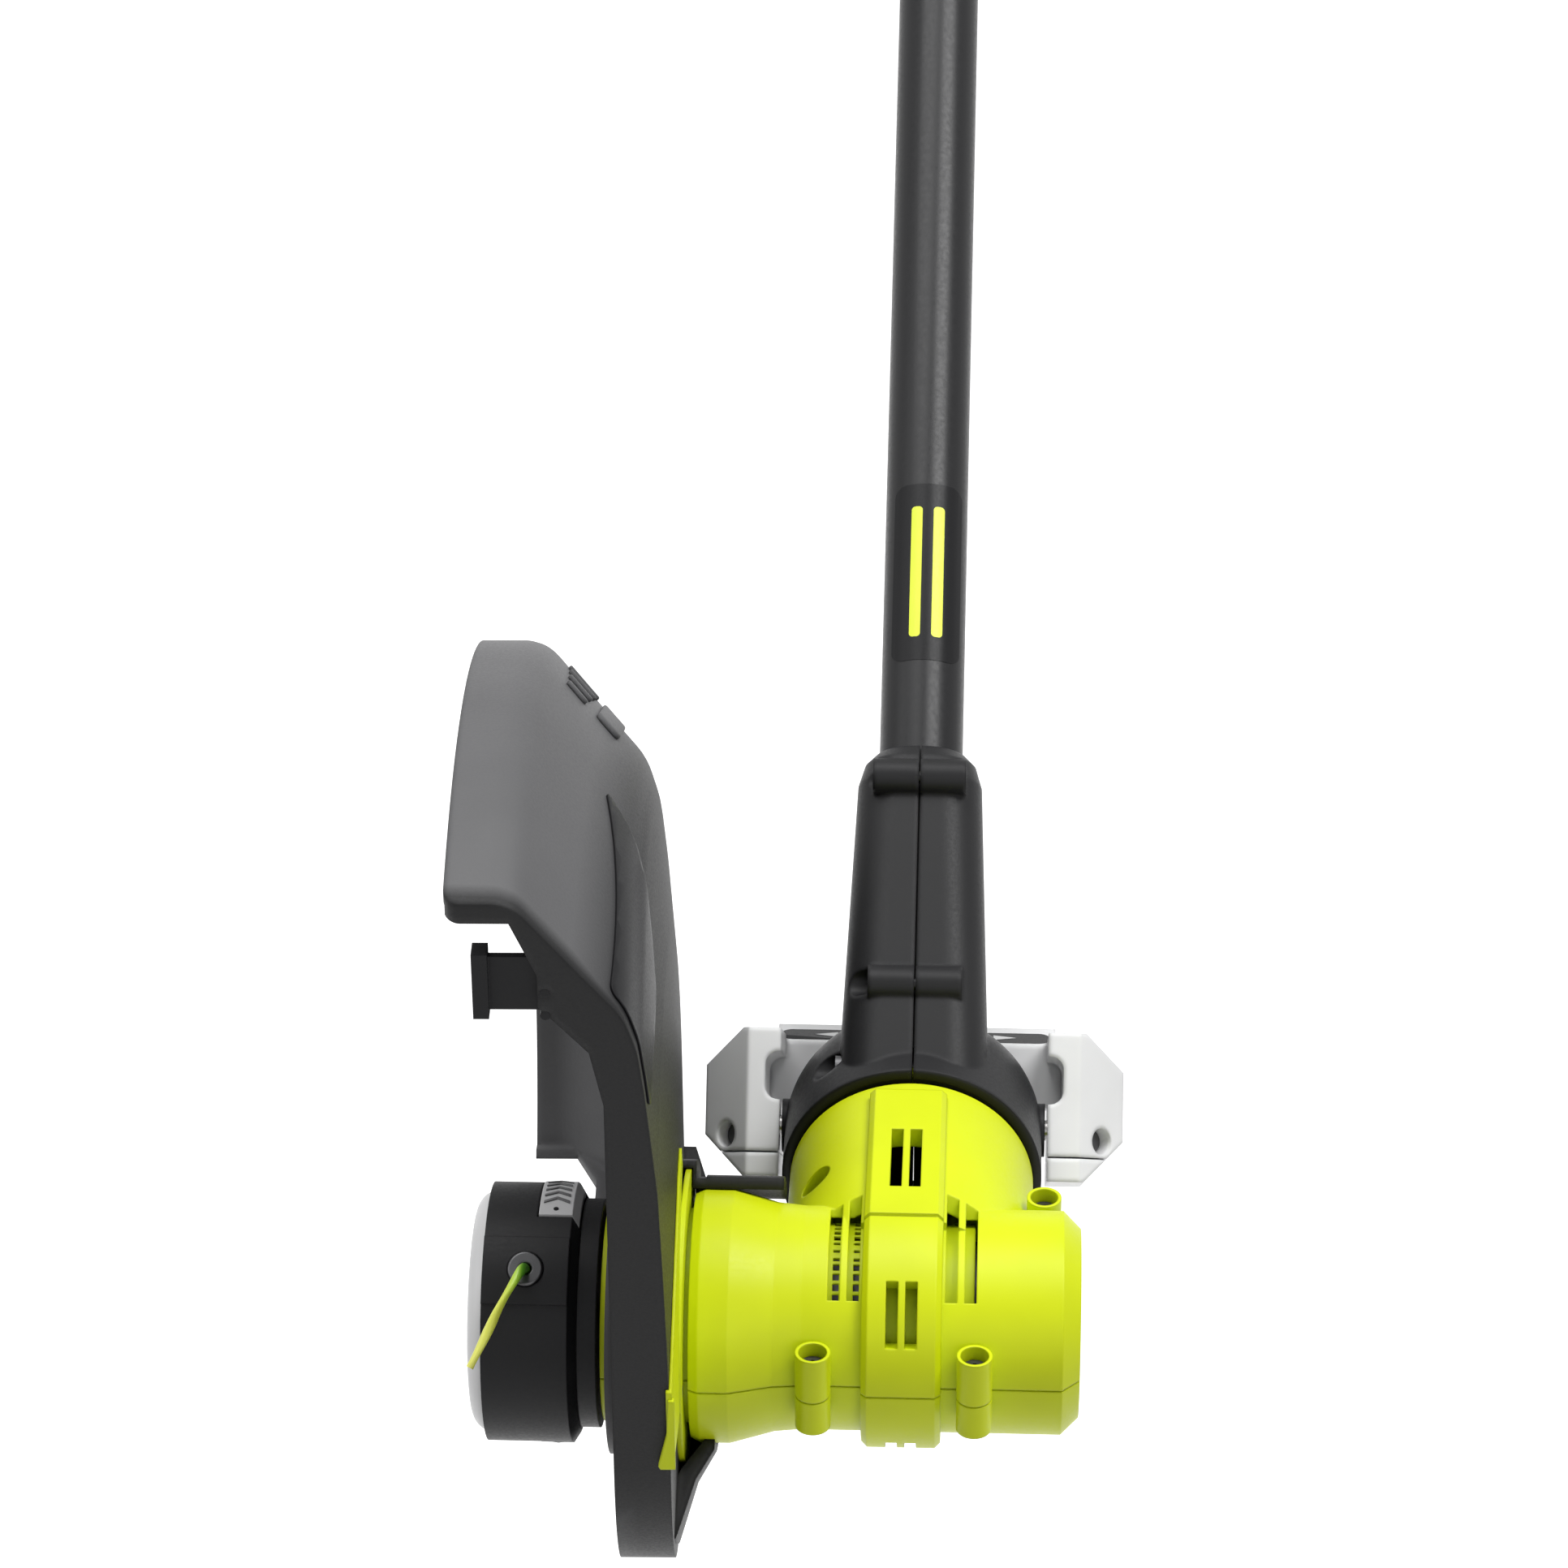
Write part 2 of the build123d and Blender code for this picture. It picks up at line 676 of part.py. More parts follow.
def housing():
    body = turned_x(
        [
            (NOSE_X, 0),
            (NOSE_X, NOSE_R),
            (BELL_X, NOSE_R),
            (BELL_X, BELL_R - BELL_BEVEL),
            (BELL_X + BELL_BEVEL * 2, BELL_R),
            (TAPER_X, BELL_R),
            (BARREL_X, BARREL_R + BELL_STEP),
            (BARREL_X + BELL_RUNOUT, BARREL_R),
            (BARREL_END - END_BEVEL, BARREL_R),
            (BARREL_END, BARREL_R - END_BEVEL),
            (BARREL_END, 0),
        ]
    )
    neck = turned_twist(
        [(0, 0), (0, NECK_R), (NECK_END - NECK_BEVEL, NECK_R), (NECK_END, NECK_R - NECK_BEVEL), (NECK_END, 0)]
    )
    body = body + neck + housing_band() - housing_cavity()
    for x in (CAN_X + CAN_WALL * 4, CAN_END - CAN_WALL * 4):
        rib = rod_x(x, x + RIB_WIDTH, BARREL_R - HOUSING_WALL / 2) - rod_x(x, x + RIB_WIDTH, CAN_R + SEAT)
        body = body + rib
    for x, y, top in BOSS_PLACES:
        body = body + rod_z(-BOSS_BOTTOM, top, BOSS_R, x, y)
    body = body + rod_y(NECK_END, FLANGE_END, STUB_R, TWIST_X)
    body = body + rod_y(FLANGE_Y, FLANGE_END, FLANGE_R, TWIST_X)
    body = body - rod_y(NECK_END - HOUSING_WALL * 2, FLANGE_END, STUB_BORE, TWIST_X) - housing_slots()
    for x, z in ((0, -LOCK_OFFSET), (-LOCK_OFFSET, 0)):
        body = body - rod_y(FLANGE_Y, FLANGE_END, LOCK_R + RUN, TWIST_X + x, z)
    for x, y, top in BOSS_PLACES:
        body = body - rod_z(-BOSS_BOTTOM / 2, top, SCREW_R + SEAT, x, y)
        body = body - rod_z(top - RECESS_DEPTH - SCREW_HEAD, NECK_R * 2, RECESS_R, x, y)
    return body


def housing_upper():
    return HOUSING & block(0, BARREL_END * 2, -BIG, BIG, SEAM / 2, BIG)


def housing_lower():
    return HOUSING & block(0, BARREL_END * 2, -BIG, BIG, -BIG, -SEAM / 2)


def housing_screws():
    pieces = []
    for x, y, top in BOSS_PLACES:
        face = top - RECESS_DEPTH
        pieces.append(Pos(x, y, 0) * screw_z(face, face + BOSS_BOTTOM / 2))
    return Compound(pieces)


# Guard round the cutting line
def on_guard(shape):
    lean = Rot(0, 0, GUARD_TILT)
    return Pos(GUARD_TOP_X, 0, 0) * lean * Pos(-GUARD_TOP_X, 0, 0) * shape


def soft_corners(face, places, radius):
    wanted = [Vector(x, r, 0) for x, r in places]
    chosen = [v for v in face.vertices() if min((Vector(v) - w).length for w in wanted) < SEAT]
    return fillet(chosen, radius)


def guard_dish(wall):
    curve = [(GUARD_TOP_X - drop - wall, GUARD_R * share - wall / 2) for drop, share in GUARD_CURVE]
    edge = curve[-1][0]
    rim = GUARD_R - wall
    points = [(GUARD_EDGE_X - wall, 0), (GUARD_EDGE_X - wall, rim), (edge, rim)]
    points = points + curve[-2::-1] + [(GUARD_TOP_X - GUARD_CURVE[0][0] - wall, 0)]
    outline = Polyline(*[(x, r, 0) for x, r in points], close=True)
    face = soft_corners(make_face(outline), [(edge, rim)], GUARD_CORNER_R - wall)
    face = soft_corners(face, curve[3:6], GUARD_SOFT_R - wall)
    roof = revolve(face, Axis.X, 360)
    side = GUARD_SIDE - wall
    near = GUARD_NEAR - wall
    low = GUARD_NEAR - GUARD_SIDE
    plan = rod_x(-GUARD_R, GUARD_R, near, 0, low) + block(-GUARD_R, GUARD_R, -near, BIG, low, BIG)
    return roof & (plan + block(-GUARD_R, GUARD_R, 0, BIG, -side, BIG))


def guard_trim():
    inner = GUARD_R - GUARD_WALL * 2
    shoulder = GUARD_TOP_X - GUARD_SHOULDER - GUARD_WALL
    band = [(GUARD_TOP_X - drop, GUARD_R * share) for drop, share in GUARD_BAND]
    return turned_x([(-GUARD_R, 0), (-GUARD_R, inner), (shoulder, inner)] + band)


def guard_saddle():
    wall = GUARD_WALL
    foot = GUARD_TOP_X - wall * 2
    tip = BELL_X + SADDLE_REACH - BELL_LENGTH / 2
    flare = turned_x(
        [
            (foot, SADDLE_R),
            (GUARD_TOP_X, SADDLE_R),
            ((GUARD_TOP_X + tip) / 2, (SADDLE_R + BELL_R) / 2 - wall),
            (tip, BELL_R + wall),
            (tip, BELL_R + SEAT),
            (tip - wall, BELL_R + SEAT),
            ((foot + tip) / 2 - wall / 2, (SADDLE_R + BELL_R) / 2 - wall * 2),
            (foot, SADDLE_R - wall * 2),
        ]
    )
    middle = (SADDLE_FROM + SADDLE_TO) / 2
    sector = wedge_x(SADDLE_FROM, middle, 0, BIG, BIG) + wedge_x(middle, SADDLE_TO, 0, BIG, BIG)
    return flare & sector


def guard_bracket():
    start = GUARD_TOP_X - GUARD_WALL
    end = GUARD_TOP_X + BRACKET_REACH
    arm_start = end + ARM_GAP
    arm_end = GUARD_TOP_X + ARM_REACH
    inner = BELL_R + PLAY
    shape = rod_x(start, end, BRACKET_R) + rod_x(start, arm_start, inner + GUARD_WALL)
    shape = shape + rod_x(arm_start, arm_end, ARM_R) - rod_x(start, arm_end, inner)
    shape = shape - rod_x(start, RETAINER_END + PLAY, RETAINER_R + PLAY)
    return shape & wedge_x(BRACKET_FROM, BRACKET_TO, 0, BIG, BIG)


def guard_back_trim():
    rim = GUARD_EDGE_X - GUARD_BACK_Y * sin(radians(GUARD_TILT))
    cut = block(-GUARD_R, 0, 0, GUARD_R * 2, -GUARD_R, GUARD_R)
    return Pos(rim, GUARD_BACK_Y, 0) * Rot(0, 0, -GUARD_BACK_LEAN) * cut


def guard_end_round():
    z = sqrt(GUARD_R**2 - GUARD_NEAR**2)
    first = GUARD_EDGE_X - GUARD_WALL
    x = GUARD_EDGE_X + GUARD_END_ROUND
    y = -GUARD_NEAR + GUARD_END_ROUND
    tip = block(first, x, -GUARD_NEAR - GUARD_WALL, y, z - GUARD_SIDE, z + GUARD_SIDE)
    return tip - rod_z(z - GUARD_SIDE, z + GUARD_SIDE, GUARD_END_ROUND, x, y)


def guard_screw_angles():
    return (90, 180, 270)


def guard():
    dish = guard_dish(0) - guard_dish(GUARD_WALL) - guard_trim() - guard_end_round()
    for z in rivet_places():
        dish = dish - rod_y(-GUARD_NEAR, -GUARD_NEAR + GUARD_WALL, RIVET_R + SEAT, rivet_x(), z)
    body = on_guard(dish) - guard_back_trim() - rod_x(GUARD_TOP_X, GUARD_TOP_X * 2, GUARD_CLEAR_R)
    hub = rod_x(GUARD_HUB_X, GUARD_TOP_X, GUARD_HUB_R)
    saddle = guard_saddle() - on_guard(guard_dish(GUARD_WALL))
    body = body + hub + saddle + guard_bracket()
    body = body - rod_x(0, GUARD_TOP_X * 2, NOSE_R + SEAT)
    radius = (NOSE_R + GUARD_HUB_R) / 2
    for angle in guard_screw_angles():
        hole = rod_x(GUARD_HUB_X, GUARD_TOP_X, SCREW_R + SEAT, 0, radius)
        hole = hole + rod_x(GUARD_HUB_X, GUARD_HUB_X + RECESS_DEPTH, SCREW_HEAD_R + SEAT, 0, radius)
        body = body - at_angle(angle, hole)
    return body


def retainer_arm():
    face = RETAINER_TAB[2][0]
    outline = Polyline(*[(face, y, z) for y, z in RETAINER_ARM], close=True)
    plan = extrude(make_face(outline), amount=GUARD_TOP_X, dir=(1, 0, 0))
    near = -GUARD_NEAR - SEAT * 5
    lip = Polyline(*[(x, near, z) for x, z in RETAINER_TAB], close=True)
    lip = extrude(make_face(lip), amount=RETAINER_TAB_THICK, dir=(0, -1, 0))
    skin = guard_dish(-RETAINER_SKIN) - guard_dish(-SEAT * 5)
    return on_guard((skin & plan) + lip)


def guard_retainer():
    plate = rod_x(GUARD_TOP_X, RETAINER_END, RETAINER_R)
    plate = plate + retainer_arm()
    plate = plate - rod_x(GUARD_HUB_X, RETAINER_END, NOSE_R + SEAT)
    radius = (NOSE_R + GUARD_HUB_R) / 2
    for angle in guard_screw_angles():
        plate = plate - at_angle(angle, rod_x(GUARD_TOP_X, RETAINER_END, SCREW_R + SEAT, 0, radius))
    return plate


def guard_screws():
    radius = (NOSE_R + GUARD_HUB_R) / 2
    face = GUARD_HUB_X + RECESS_DEPTH
    pieces = []
    for angle in guard_screw_angles():
        screw = rod_x(face - SCREW_HEAD, face, SCREW_HEAD_R, 0, radius)
        screw = screw + rod_x(face, RETAINER_END, SCREW_R, 0, radius)
        pieces.append(at_angle(angle, screw))
    return Compound(pieces)


def rivet_x():
    return CUTTER_X + CUTTER_REACH - RIVET_HEAD_R - PLAY


def rivet_places():
    return (RIVET_Z - RIVET_PITCH / 2, RIVET_Z + RIVET_PITCH / 2)


def cutter_blade():
    face = -GUARD_NEAR + GUARD_WALL
    back = face + CUTTER_THICK
    half = CUTTER_HEIGHT / 2
    wide = CUTTER_FLANGE_HEIGHT / 2
    end = CUTTER_X + CUTTER_FLANGE
    plate = block(CUTTER_X, CUTTER_X + CUTTER_REACH, face, back, CUTTER_Z - half, CUTTER_Z + half)
    plate = plate & guard_dish(GUARD_WALL + SEAT)
    bar = block(CUTTER_X, end, face - CUTTER_THICK, back + CUTTER_THICK, CUTTER_Z - wide, CUTTER_Z + wide)
    plate = plate + bar
    for z in rivet_places():
        plate = plate - rod_y(face, back, RIVET_R + SEAT, rivet_x(), z)
    return on_guard(plate)


def cutter_rivets():
    back = -GUARD_NEAR + GUARD_WALL + CUTTER_THICK
    pieces = []
    for z in rivet_places():
        head = rod_y(back, back + RIVET_HEAD, RIVET_HEAD_R, rivet_x(), z)
        pieces.append(head + rod_y(-GUARD_NEAR, back, RIVET_R, rivet_x(), z))
    return on_guard(Compound(pieces))


# Twist yoke, a clamshell split on the shaft's plane
def yoke_dome():
    start = (TWIST_X + YOKE_R, NECK_END)
    shoulder = (TWIST_X + YOKE_R, YOKE_SHOULDER_Y)
    bulge = (TWIST_X + YOKE_R * cos(pi / 4), YOKE_SHOULDER_Y + YOKE_DOME * sin(pi / 4))
    apex = (TWIST_X, YOKE_BACK)
    outline = [
        Line((TWIST_X, NECK_END), start),
        Line(start, shoulder),
        Spline(shoulder, bulge, apex, tangents=((0, 1), (-1, 0))),
        Line(apex, (TWIST_X, NECK_END)),
    ]
    return revolve(make_face(outline), Axis((TWIST_X, 0, 0), (0, 1, 0)), 360)


def yoke_neck():
    corner = TOP_WIDTH / 3
    root = Pos(0, 0, YOKE_ROOT) * RectangleRounded(ROOT_WIDTH, ROOT_DEPTH, corner)
    shoulder = Pos(0, 0, YOKE_SHOULDER) * RectangleRounded(TOP_WIDTH, TOP_DEPTH, corner)
    crown = Pos(0, 0, YOKE_CROWN) * RectangleRounded(CROWN_WIDTH, CROWN_WIDTH, corner)
    rim = Pos(0, 0, YOKE_TOP) * RectangleRounded(RIM_WIDTH, RIM_WIDTH, corner)
    return loft([root, shoulder]) + loft([shoulder, crown]) + loft([crown, rim])


def yoke_screw_lines():
    half = BARREL_BOSS_LENGTH / 2
    lines = []
    for z in BARREL_BOSS_Z:
        place = SHAFT.from_local_coords(Vector(0, BARREL_BOSS_Y, z))
        lines.append((half, place.Y, place.Z))
    reach = YOKE_R * sqrt(1 - ((YOKE_SCREW_Y - YOKE_SHOULDER_Y) / YOKE_DOME) ** 2)
    for z in (YOKE_SCREW_TOP, YOKE_SCREW_BOTTOM):
        lines.append((sqrt(reach * reach - z * z), YOKE_SCREW_Y, z))
    return lines


def yoke():
    neck = yoke_neck()
    for z in BARREL_BOSS_Z:
        half = BARREL_BOSS_LENGTH / 2
        neck = neck + rod_x(-half, half, BARREL_BOSS_R, BARREL_BOSS_Y, z)
    body = yoke_dome() + on_shaft(neck)
    body = body + rod_x(TWIST_X - EAR_REACH, TWIST_X + EAR_REACH, EAR_R, PIVOT_Y, 0)
    body = body - rod_y(NECK_END, NECK_END + YOKE_WELL, YOKE_R - YOKE_LIP, TWIST_X)
    body = body - rod_y(NECK_END, FLANGE_END, STUB_R + RUN, TWIST_X)
    body = body - rod_y(FLANGE_Y - PLAY / 2, GROOVE_END, FLANGE_R + PLAY, TWIST_X)
    body = body - rod_y(FLANGE_END, GROOVE_END + YOKE_CAVITY_DEPTH, YOKE_CAVITY_R, TWIST_X)
    body = body - on_shaft(rod_z(SOCKET_FLOOR, YOKE_TOP, TUBE_R + SEAT))
    body = body - on_shaft(rod_z(0, SOCKET_FLOOR, LEAD_HOLE_R))
    body = body - rod_y(FLANGE_END, GROOVE_END + LOCK_POCKET, LOCK_R + RUN, TWIST_X, -LOCK_OFFSET)
    body = body - rod_x(TWIST_X - EAR_REACH, TWIST_X - YOKE_CAVITY_R, PIN_R + RUN, PIVOT_Y, 0)
    body = body - rod_x(TWIST_X + YOKE_CAVITY_R, TWIST_X + EAR_REACH, PIN_R + RUN, PIVOT_Y, 0)
    for half, y, z in yoke_screw_lines():
        body = body - rod_x(TWIST_X - half - BIG, TWIST_X - half + RECESS_DEPTH, RECESS_R, y, z)
        body = body - rod_x(TWIST_X - half, TWIST_X + half - RECESS_DEPTH, SCREW_R + SEAT, y, z)
    return body


def yoke_left():
    return YOKE & block(TWIST_X - BIG, TWIST_X - SEAM / 2, -BIG, BIG, -BIG, BIG)


def yoke_right():
    return YOKE & block(TWIST_X + SEAM / 2, TWIST_X + BIG, -BIG, BIG, -BIG, BIG)


def yoke_screws():
    pieces = []
    for half, y, z in yoke_screw_lines():
        face = TWIST_X - half + RECESS_DEPTH
        head = rod_x(face - SCREW_HEAD, face, SCREW_HEAD_R, y, z)
        pieces.append(head + rod_x(face, TWIST_X + half - RECESS_DEPTH, SCREW_R, y, z))
    return Compound(pieces)


def lock_pin():
    start = FLANGE_END + PLAY
    return rod_y(start, start + LOCK_LENGTH, LOCK_R, TWIST_X, -LOCK_OFFSET)


def lock_spring():
    start = FLANGE_END + PLAY + LOCK_LENGTH
    end = GROOVE_END + LOCK_POCKET
    coil = Rot(-90, 0, 0) * spring(start, end, LOCK_R - PLAY, SPRING_WIRE / 2)
    return Pos(TWIST_X, 0, -LOCK_OFFSET) * coil


# Foot pedal
def pedal_wing(wall):
    inner = EAR_REACH + PLAY * 2 + wall
    outer = PEDAL_HALF - wall
    front = PEDAL_FRONT + wall
    back = PEDAL_BACK - wall
    outline = Polyline(
        (inner, front),
        (outer - PEDAL_CORNER, front),
        (outer, front + PEDAL_CORNER),
        (outer, PEDAL_SIDE),
        (PEDAL_TAIL - wall, back),
        (inner, back),
        close=True,
    )
    bottom = PEDAL_BOTTOM
    return Pos(0, 0, bottom) * extrude(make_face(outline), amount=PEDAL_TOP - wall - bottom, dir=(0, 0, 1))


def pedal_sides():
    shoulder, shoulder_drop = PEDAL_SHOULDER
    heel, heel_rise = PEDAL_HEEL
    outline = Polyline(
        (0, PEDAL_BOTTOM),
        (PEDAL_HALF - heel, PEDAL_BOTTOM),
        (PEDAL_HALF, PEDAL_BOTTOM + heel_rise),
        (PEDAL_HALF, PEDAL_TOP - shoulder_drop),
        (PEDAL_HALF - shoulder, PEDAL_TOP),
        (0, PEDAL_TOP),
        close=True,
    )
    face = Plane(origin=(0, PEDAL_BACK, 0), x_dir=(1, 0, 0), z_dir=(0, -1, 0)) * make_face(outline)
    return both_sides(extrude(face, amount=PEDAL_BACK - PEDAL_FRONT, dir=(0, -1, 0)))


def pedal_bar():
    run, drop = PEDAL_BAR_SLOPE
    outline = Polyline(
        (PEDAL_BAR_FRONT, PEDAL_BAR_BOTTOM),
        (PEDAL_BAR_FRONT, PEDAL_BAR_TOP - drop),
        (PEDAL_BAR_FRONT + run, PEDAL_BAR_TOP),
        (PEDAL_BACK, PEDAL_BAR_TOP),
        (PEDAL_BACK, PEDAL_BAR_BOTTOM),
        close=True,
    )
    return side_plate(outline, EAR_REACH + PLAY * 2 + PEDAL_WALL)


def pedal_scoop():
    wide = (EAR_REACH + PLAY * 2 + PEDAL_SCOOP) * 2
    high = PEDAL_SCOOP_HIGH - PEDAL_SCOOP_LOW
    middle = (PEDAL_SCOOP_HIGH + PEDAL_SCOOP_LOW) / 2
    mouth = Plane(origin=(0, PEDAL_FRONT, middle), x_dir=(1, 0, 0), z_dir=(0, -1, 0))
    face = mouth * RectangleRounded(wide, high, PEDAL_SCOOP * 0.9)
    return extrude(face, amount=PEDAL_BAR_FRONT - PEDAL_FRONT, dir=(0, 1, 0))


def pedal_outer():
    return (both_sides(pedal_wing(0)) & pedal_sides()) + pedal_bar()


def pedal_shell():
    body = pedal_outer()
    body = body & block(-BIG, BIG, -BIG, BIG, PEDAL_PARTING, BIG)
    body = body - pedal_scoop()
    side = PEDAL_TAIL - PEDAL_WALL
    hollow = block(-side, side, PEDAL_SOLID, BIG, -BIG, PEDAL_SCOOP_LOW - PEDAL_WALL)
    hollow = pedal_wing(PEDAL_WALL) & hollow
    start = EAR_REACH + PLAY * 2
    pin_hole = rod_x(start, pin_end(), PIN_R + SEAT)
    body = body - both_sides(hollow) - both_sides(pin_hole)
    floor = -RECESS_DEPTH - SCREW_HEAD
    for place in pedal_screw_places():
        body = body - place * rod_z(floor, RECESS_DEPTH, RECESS_R)
    return on_pedal(body)


def pedal_screw_places():
    x = PEDAL_HALF - PEDAL_CORNER / 2
    y = PEDAL_FRONT + PEDAL_CORNER / 2
    right = Plane(origin=(x, y, PEDAL_SCREW_V), z_dir=(1, -1, 0)).location
    left = Plane(origin=(-x, y, PEDAL_SCREW_V), z_dir=(-1, -1, 0)).location
    return (left, right)


def pedal_covers():
    body = both_sides(pedal_wing(0)) & pedal_sides()
    return on_pedal(body & block(-BIG, BIG, -BIG, BIG, PEDAL_BOTTOM, PEDAL_PARTING - SEAM))


def pedal_screws():
    pieces = []
    for place in pedal_screw_places():
        pieces.append(place * rod_z(-RECESS_DEPTH - SCREW_HEAD, -RECESS_DEPTH, SCREW_HEAD_R))
    return on_pedal(Compound(pieces))


def pin_end():
    start = EAR_REACH + PLAY * 2
    return start + (PEDAL_HALF - PEDAL_CORNER - start) * PIN_SHARE


def pedal_pins():
    start = EAR_REACH + PLAY * 2 - PIN_HOLD
    pins = both_sides(rod_x(start, pin_end(), PIN_R))
    return on_pedal(pins)


# Tubes and the length clamp
def lower_tube():
    return on_shaft(rod_z(SOCKET_FLOOR, TUBE_TOP, TUBE_R) - rod_z(SOCKET_FLOOR, TUBE_TOP, TUBE_R - TUBE_WALL))


def upper_tube():
    return on_shaft(rod_z(UPPER_FOOT, UPPER_TOP, UPPER_R) - rod_z(UPPER_FOOT, UPPER_TOP, UPPER_BORE))


def clamp_collar():
    end = COLLAR_FOOT + COLLAR_LENGTH
    middle = COLLAR_FOOT + COLLAR_LENGTH / 2
    ring = rod_z(COLLAR_FOOT, end, COLLAR_R)
    lug = block(0, LUG_X + LUG_HALF, -LUG_HALF, LUG_HALF, middle - LUG_WIDTH / 2, middle + LUG_WIDTH / 2)
    body = ring + lug
    body = body - rod_z(COLLAR_FOOT, UPPER_FOOT, UPPER_BORE) - rod_z(UPPER_FOOT, end, UPPER_R + SEAT)
    body = body - block(0, LUG_X * 2, -CLAMP_SLOT / 2, CLAMP_SLOT / 2, COLLAR_FOOT, end)
    return on_shaft(body - rod_y(-LUG_HALF, LUG_HALF, CLAMP_BOLT_R + SEAT, LUG_X, middle))


def lever_y():
    return -LUG_HALF - LEVER_BARREL_R - PLAY


def clamp_bolt():
    middle = COLLAR_FOOT + COLLAR_LENGTH / 2
    bolt = rod_y(lever_y(), LUG_HALF, CLAMP_BOLT_R, LUG_X, middle)
    bolt = bolt + rod_y(LUG_HALF, LUG_HALF + CLAMP_BOLT_R, CLAMP_BOLT_R * 2, LUG_X, middle)
    half = LEVER_FORK / 2 - PLAY
    eye = rod_z(middle - half, middle + half, LEVER_BARREL_R - PLAY, LUG_X, lever_y())
    bolt = bolt + eye
    return on_shaft(bolt - rod_z(middle - half, middle + half, LEVER_PIN_R + SEAT, LUG_X, lever_y()))


def lever_pin():
    middle = COLLAR_FOOT + COLLAR_LENGTH / 2
    half = LUG_WIDTH / 2
    return on_shaft(rod_z(middle - half, middle + half, LEVER_PIN_R, LUG_X, lever_y()))


def clamp_lever():
    middle = COLLAR_FOOT + COLLAR_LENGTH / 2
    half = LUG_WIDTH / 2
    low = middle - half
    high = middle + half
    inner = COLLAR_R + PLAY * 2
    outer = inner + LEVER_THICK
    arm = rod_z(low, high, outer) - rod_z(low, high, inner)
    arm = arm & block(-LEVER_REACH / 2, LUG_X, -BIG, lever_y() + LEVER_THICK / 2, low, high)
    barrel = rod_z(low, high, LEVER_BARREL_R, LUG_X, lever_y())
    link = block(inner * sqrt(0.5), LUG_X, lever_y() - LEVER_BARREL_R, lever_y(), low, high)
    body = arm + barrel + (link - rod_z(low, high, inner))
    fork = block(LUG_X - LEVER_BARREL_R * 2, BIG, -BIG, BIG, middle - LEVER_FORK / 2, middle + LEVER_FORK / 2)
    fork = fork & rod_z(low, high, LEVER_BARREL_R + PLAY, LUG_X, lever_y())
    body = body - fork - rod_z(low, high, LEVER_PIN_R + RUN, LUG_X, lever_y())
    return on_shaft(body)


# Front loop handle
def handle_bracket():
    half = BRACKET_LENGTH / 2
    low = BRACKET_Z - half
    high = BRACKET_Z + half
    reach = TILT_HUB_HALF + PLAY + TILT_LUG
    body = rod_z(low, high, HANDLE_BRACKET_R)
    lug = block(-reach, reach, TILT_Y, 0, BRACKET_Z - TILT_LUG_R, BRACKET_Z + TILT_LUG_R)
    body = body + lug + rod_x(-reach, reach, TILT_LUG_R, TILT_Y, BRACKET_Z)
    gap = TILT_HUB_HALF + PLAY
    room = TILT_LUG_R + PLAY
    body = body - block(-gap, gap, -BIG, TILT_Y + room, low, high)
    body = body - rod_x(-reach, reach, HANDLE_BOLT_R + SEAT, TILT_Y, BRACKET_Z)
    return on_shaft(body - rod_z(low, high, UPPER_R + SEAT))


def front_handle():
    path = FilletPolyline(
        (0, LOOP_FOOT_Y, BRACKET_Z),
        (LOOP_HALF, LOOP_FOOT_Y, BRACKET_Z),
        (LOOP_HALF, LOOP_TOP_Y, BRACKET_Z),
        (0, LOOP_TOP_Y, BRACKET_Z),
        radius=LOOP_CORNER,
    )
    section = Plane(origin=(0, LOOP_FOOT_Y, BRACKET_Z), z_dir=(1, 0, 0)) * Circle(LOOP_R)
    loop = both_sides(sweep(section, path=path))
    hub = rod_x(-TILT_HUB_HALF, TILT_HUB_HALF, TILT_LUG_R, TILT_Y, BRACKET_Z)
    low = BRACKET_Z - TILT_STEM / 2
    high = BRACKET_Z + TILT_STEM / 2
    stem = block(-TILT_HUB_HALF, TILT_HUB_HALF, LOOP_FOOT_Y, TILT_Y, low, high)
    body = loop + hub + stem
    return on_shaft(body - rod_x(-TILT_HUB_HALF, TILT_HUB_HALF, HANDLE_BOLT_R + RUN, TILT_Y, BRACKET_Z))


def front_grip():
    half = GRIP_LENGTH / 2
    sleeve = rod_x(-half, half, LOOP_R + GRIP_THICK, LOOP_TOP_Y, BRACKET_Z)
    sleeve = fillet(sleeve.edges().filter_by(GeomType.CIRCLE), GRIP_THICK * 0.8)
    return on_shaft(sleeve - rod_x(-half, half, LOOP_R + SEAT, LOOP_TOP_Y, BRACKET_Z))


def handle_bolt():
    reach = TILT_HUB_HALF + PLAY + TILT_LUG
    bolt = rod_x(-reach, reach + KNOB_LENGTH / 2, HANDLE_BOLT_R, TILT_Y, BRACKET_Z)
    return on_shaft(bolt + rod_x(-reach - HANDLE_BOLT_R, -reach, HANDLE_BOLT_R * 2, TILT_Y, BRACKET_Z))


def handle_knob():
    start = TILT_HUB_HALF + PLAY + TILT_LUG + PLAY
    knob = rod_x(start, start + KNOB_LENGTH, KNOB_R)
    knob = fillet(knob.edges().group_by(Axis.X)[-1], KNOB_LENGTH / 4)
    for i in range(KNOB_LOBES):
        scallop = rod_x(start, start + KNOB_LENGTH, KNOB_SCALLOP_R, 0, KNOB_R + KNOB_SCALLOP_R / 2)
        knob = knob - at_angle(i * 360 / KNOB_LOBES, scallop)
    knob = knob - rod_x(start, start + KNOB_LENGTH / 2 + PLAY, HANDLE_BOLT_R + RUN)
    return on_shaft(Pos(0, TILT_Y, BRACKET_Z) * knob)


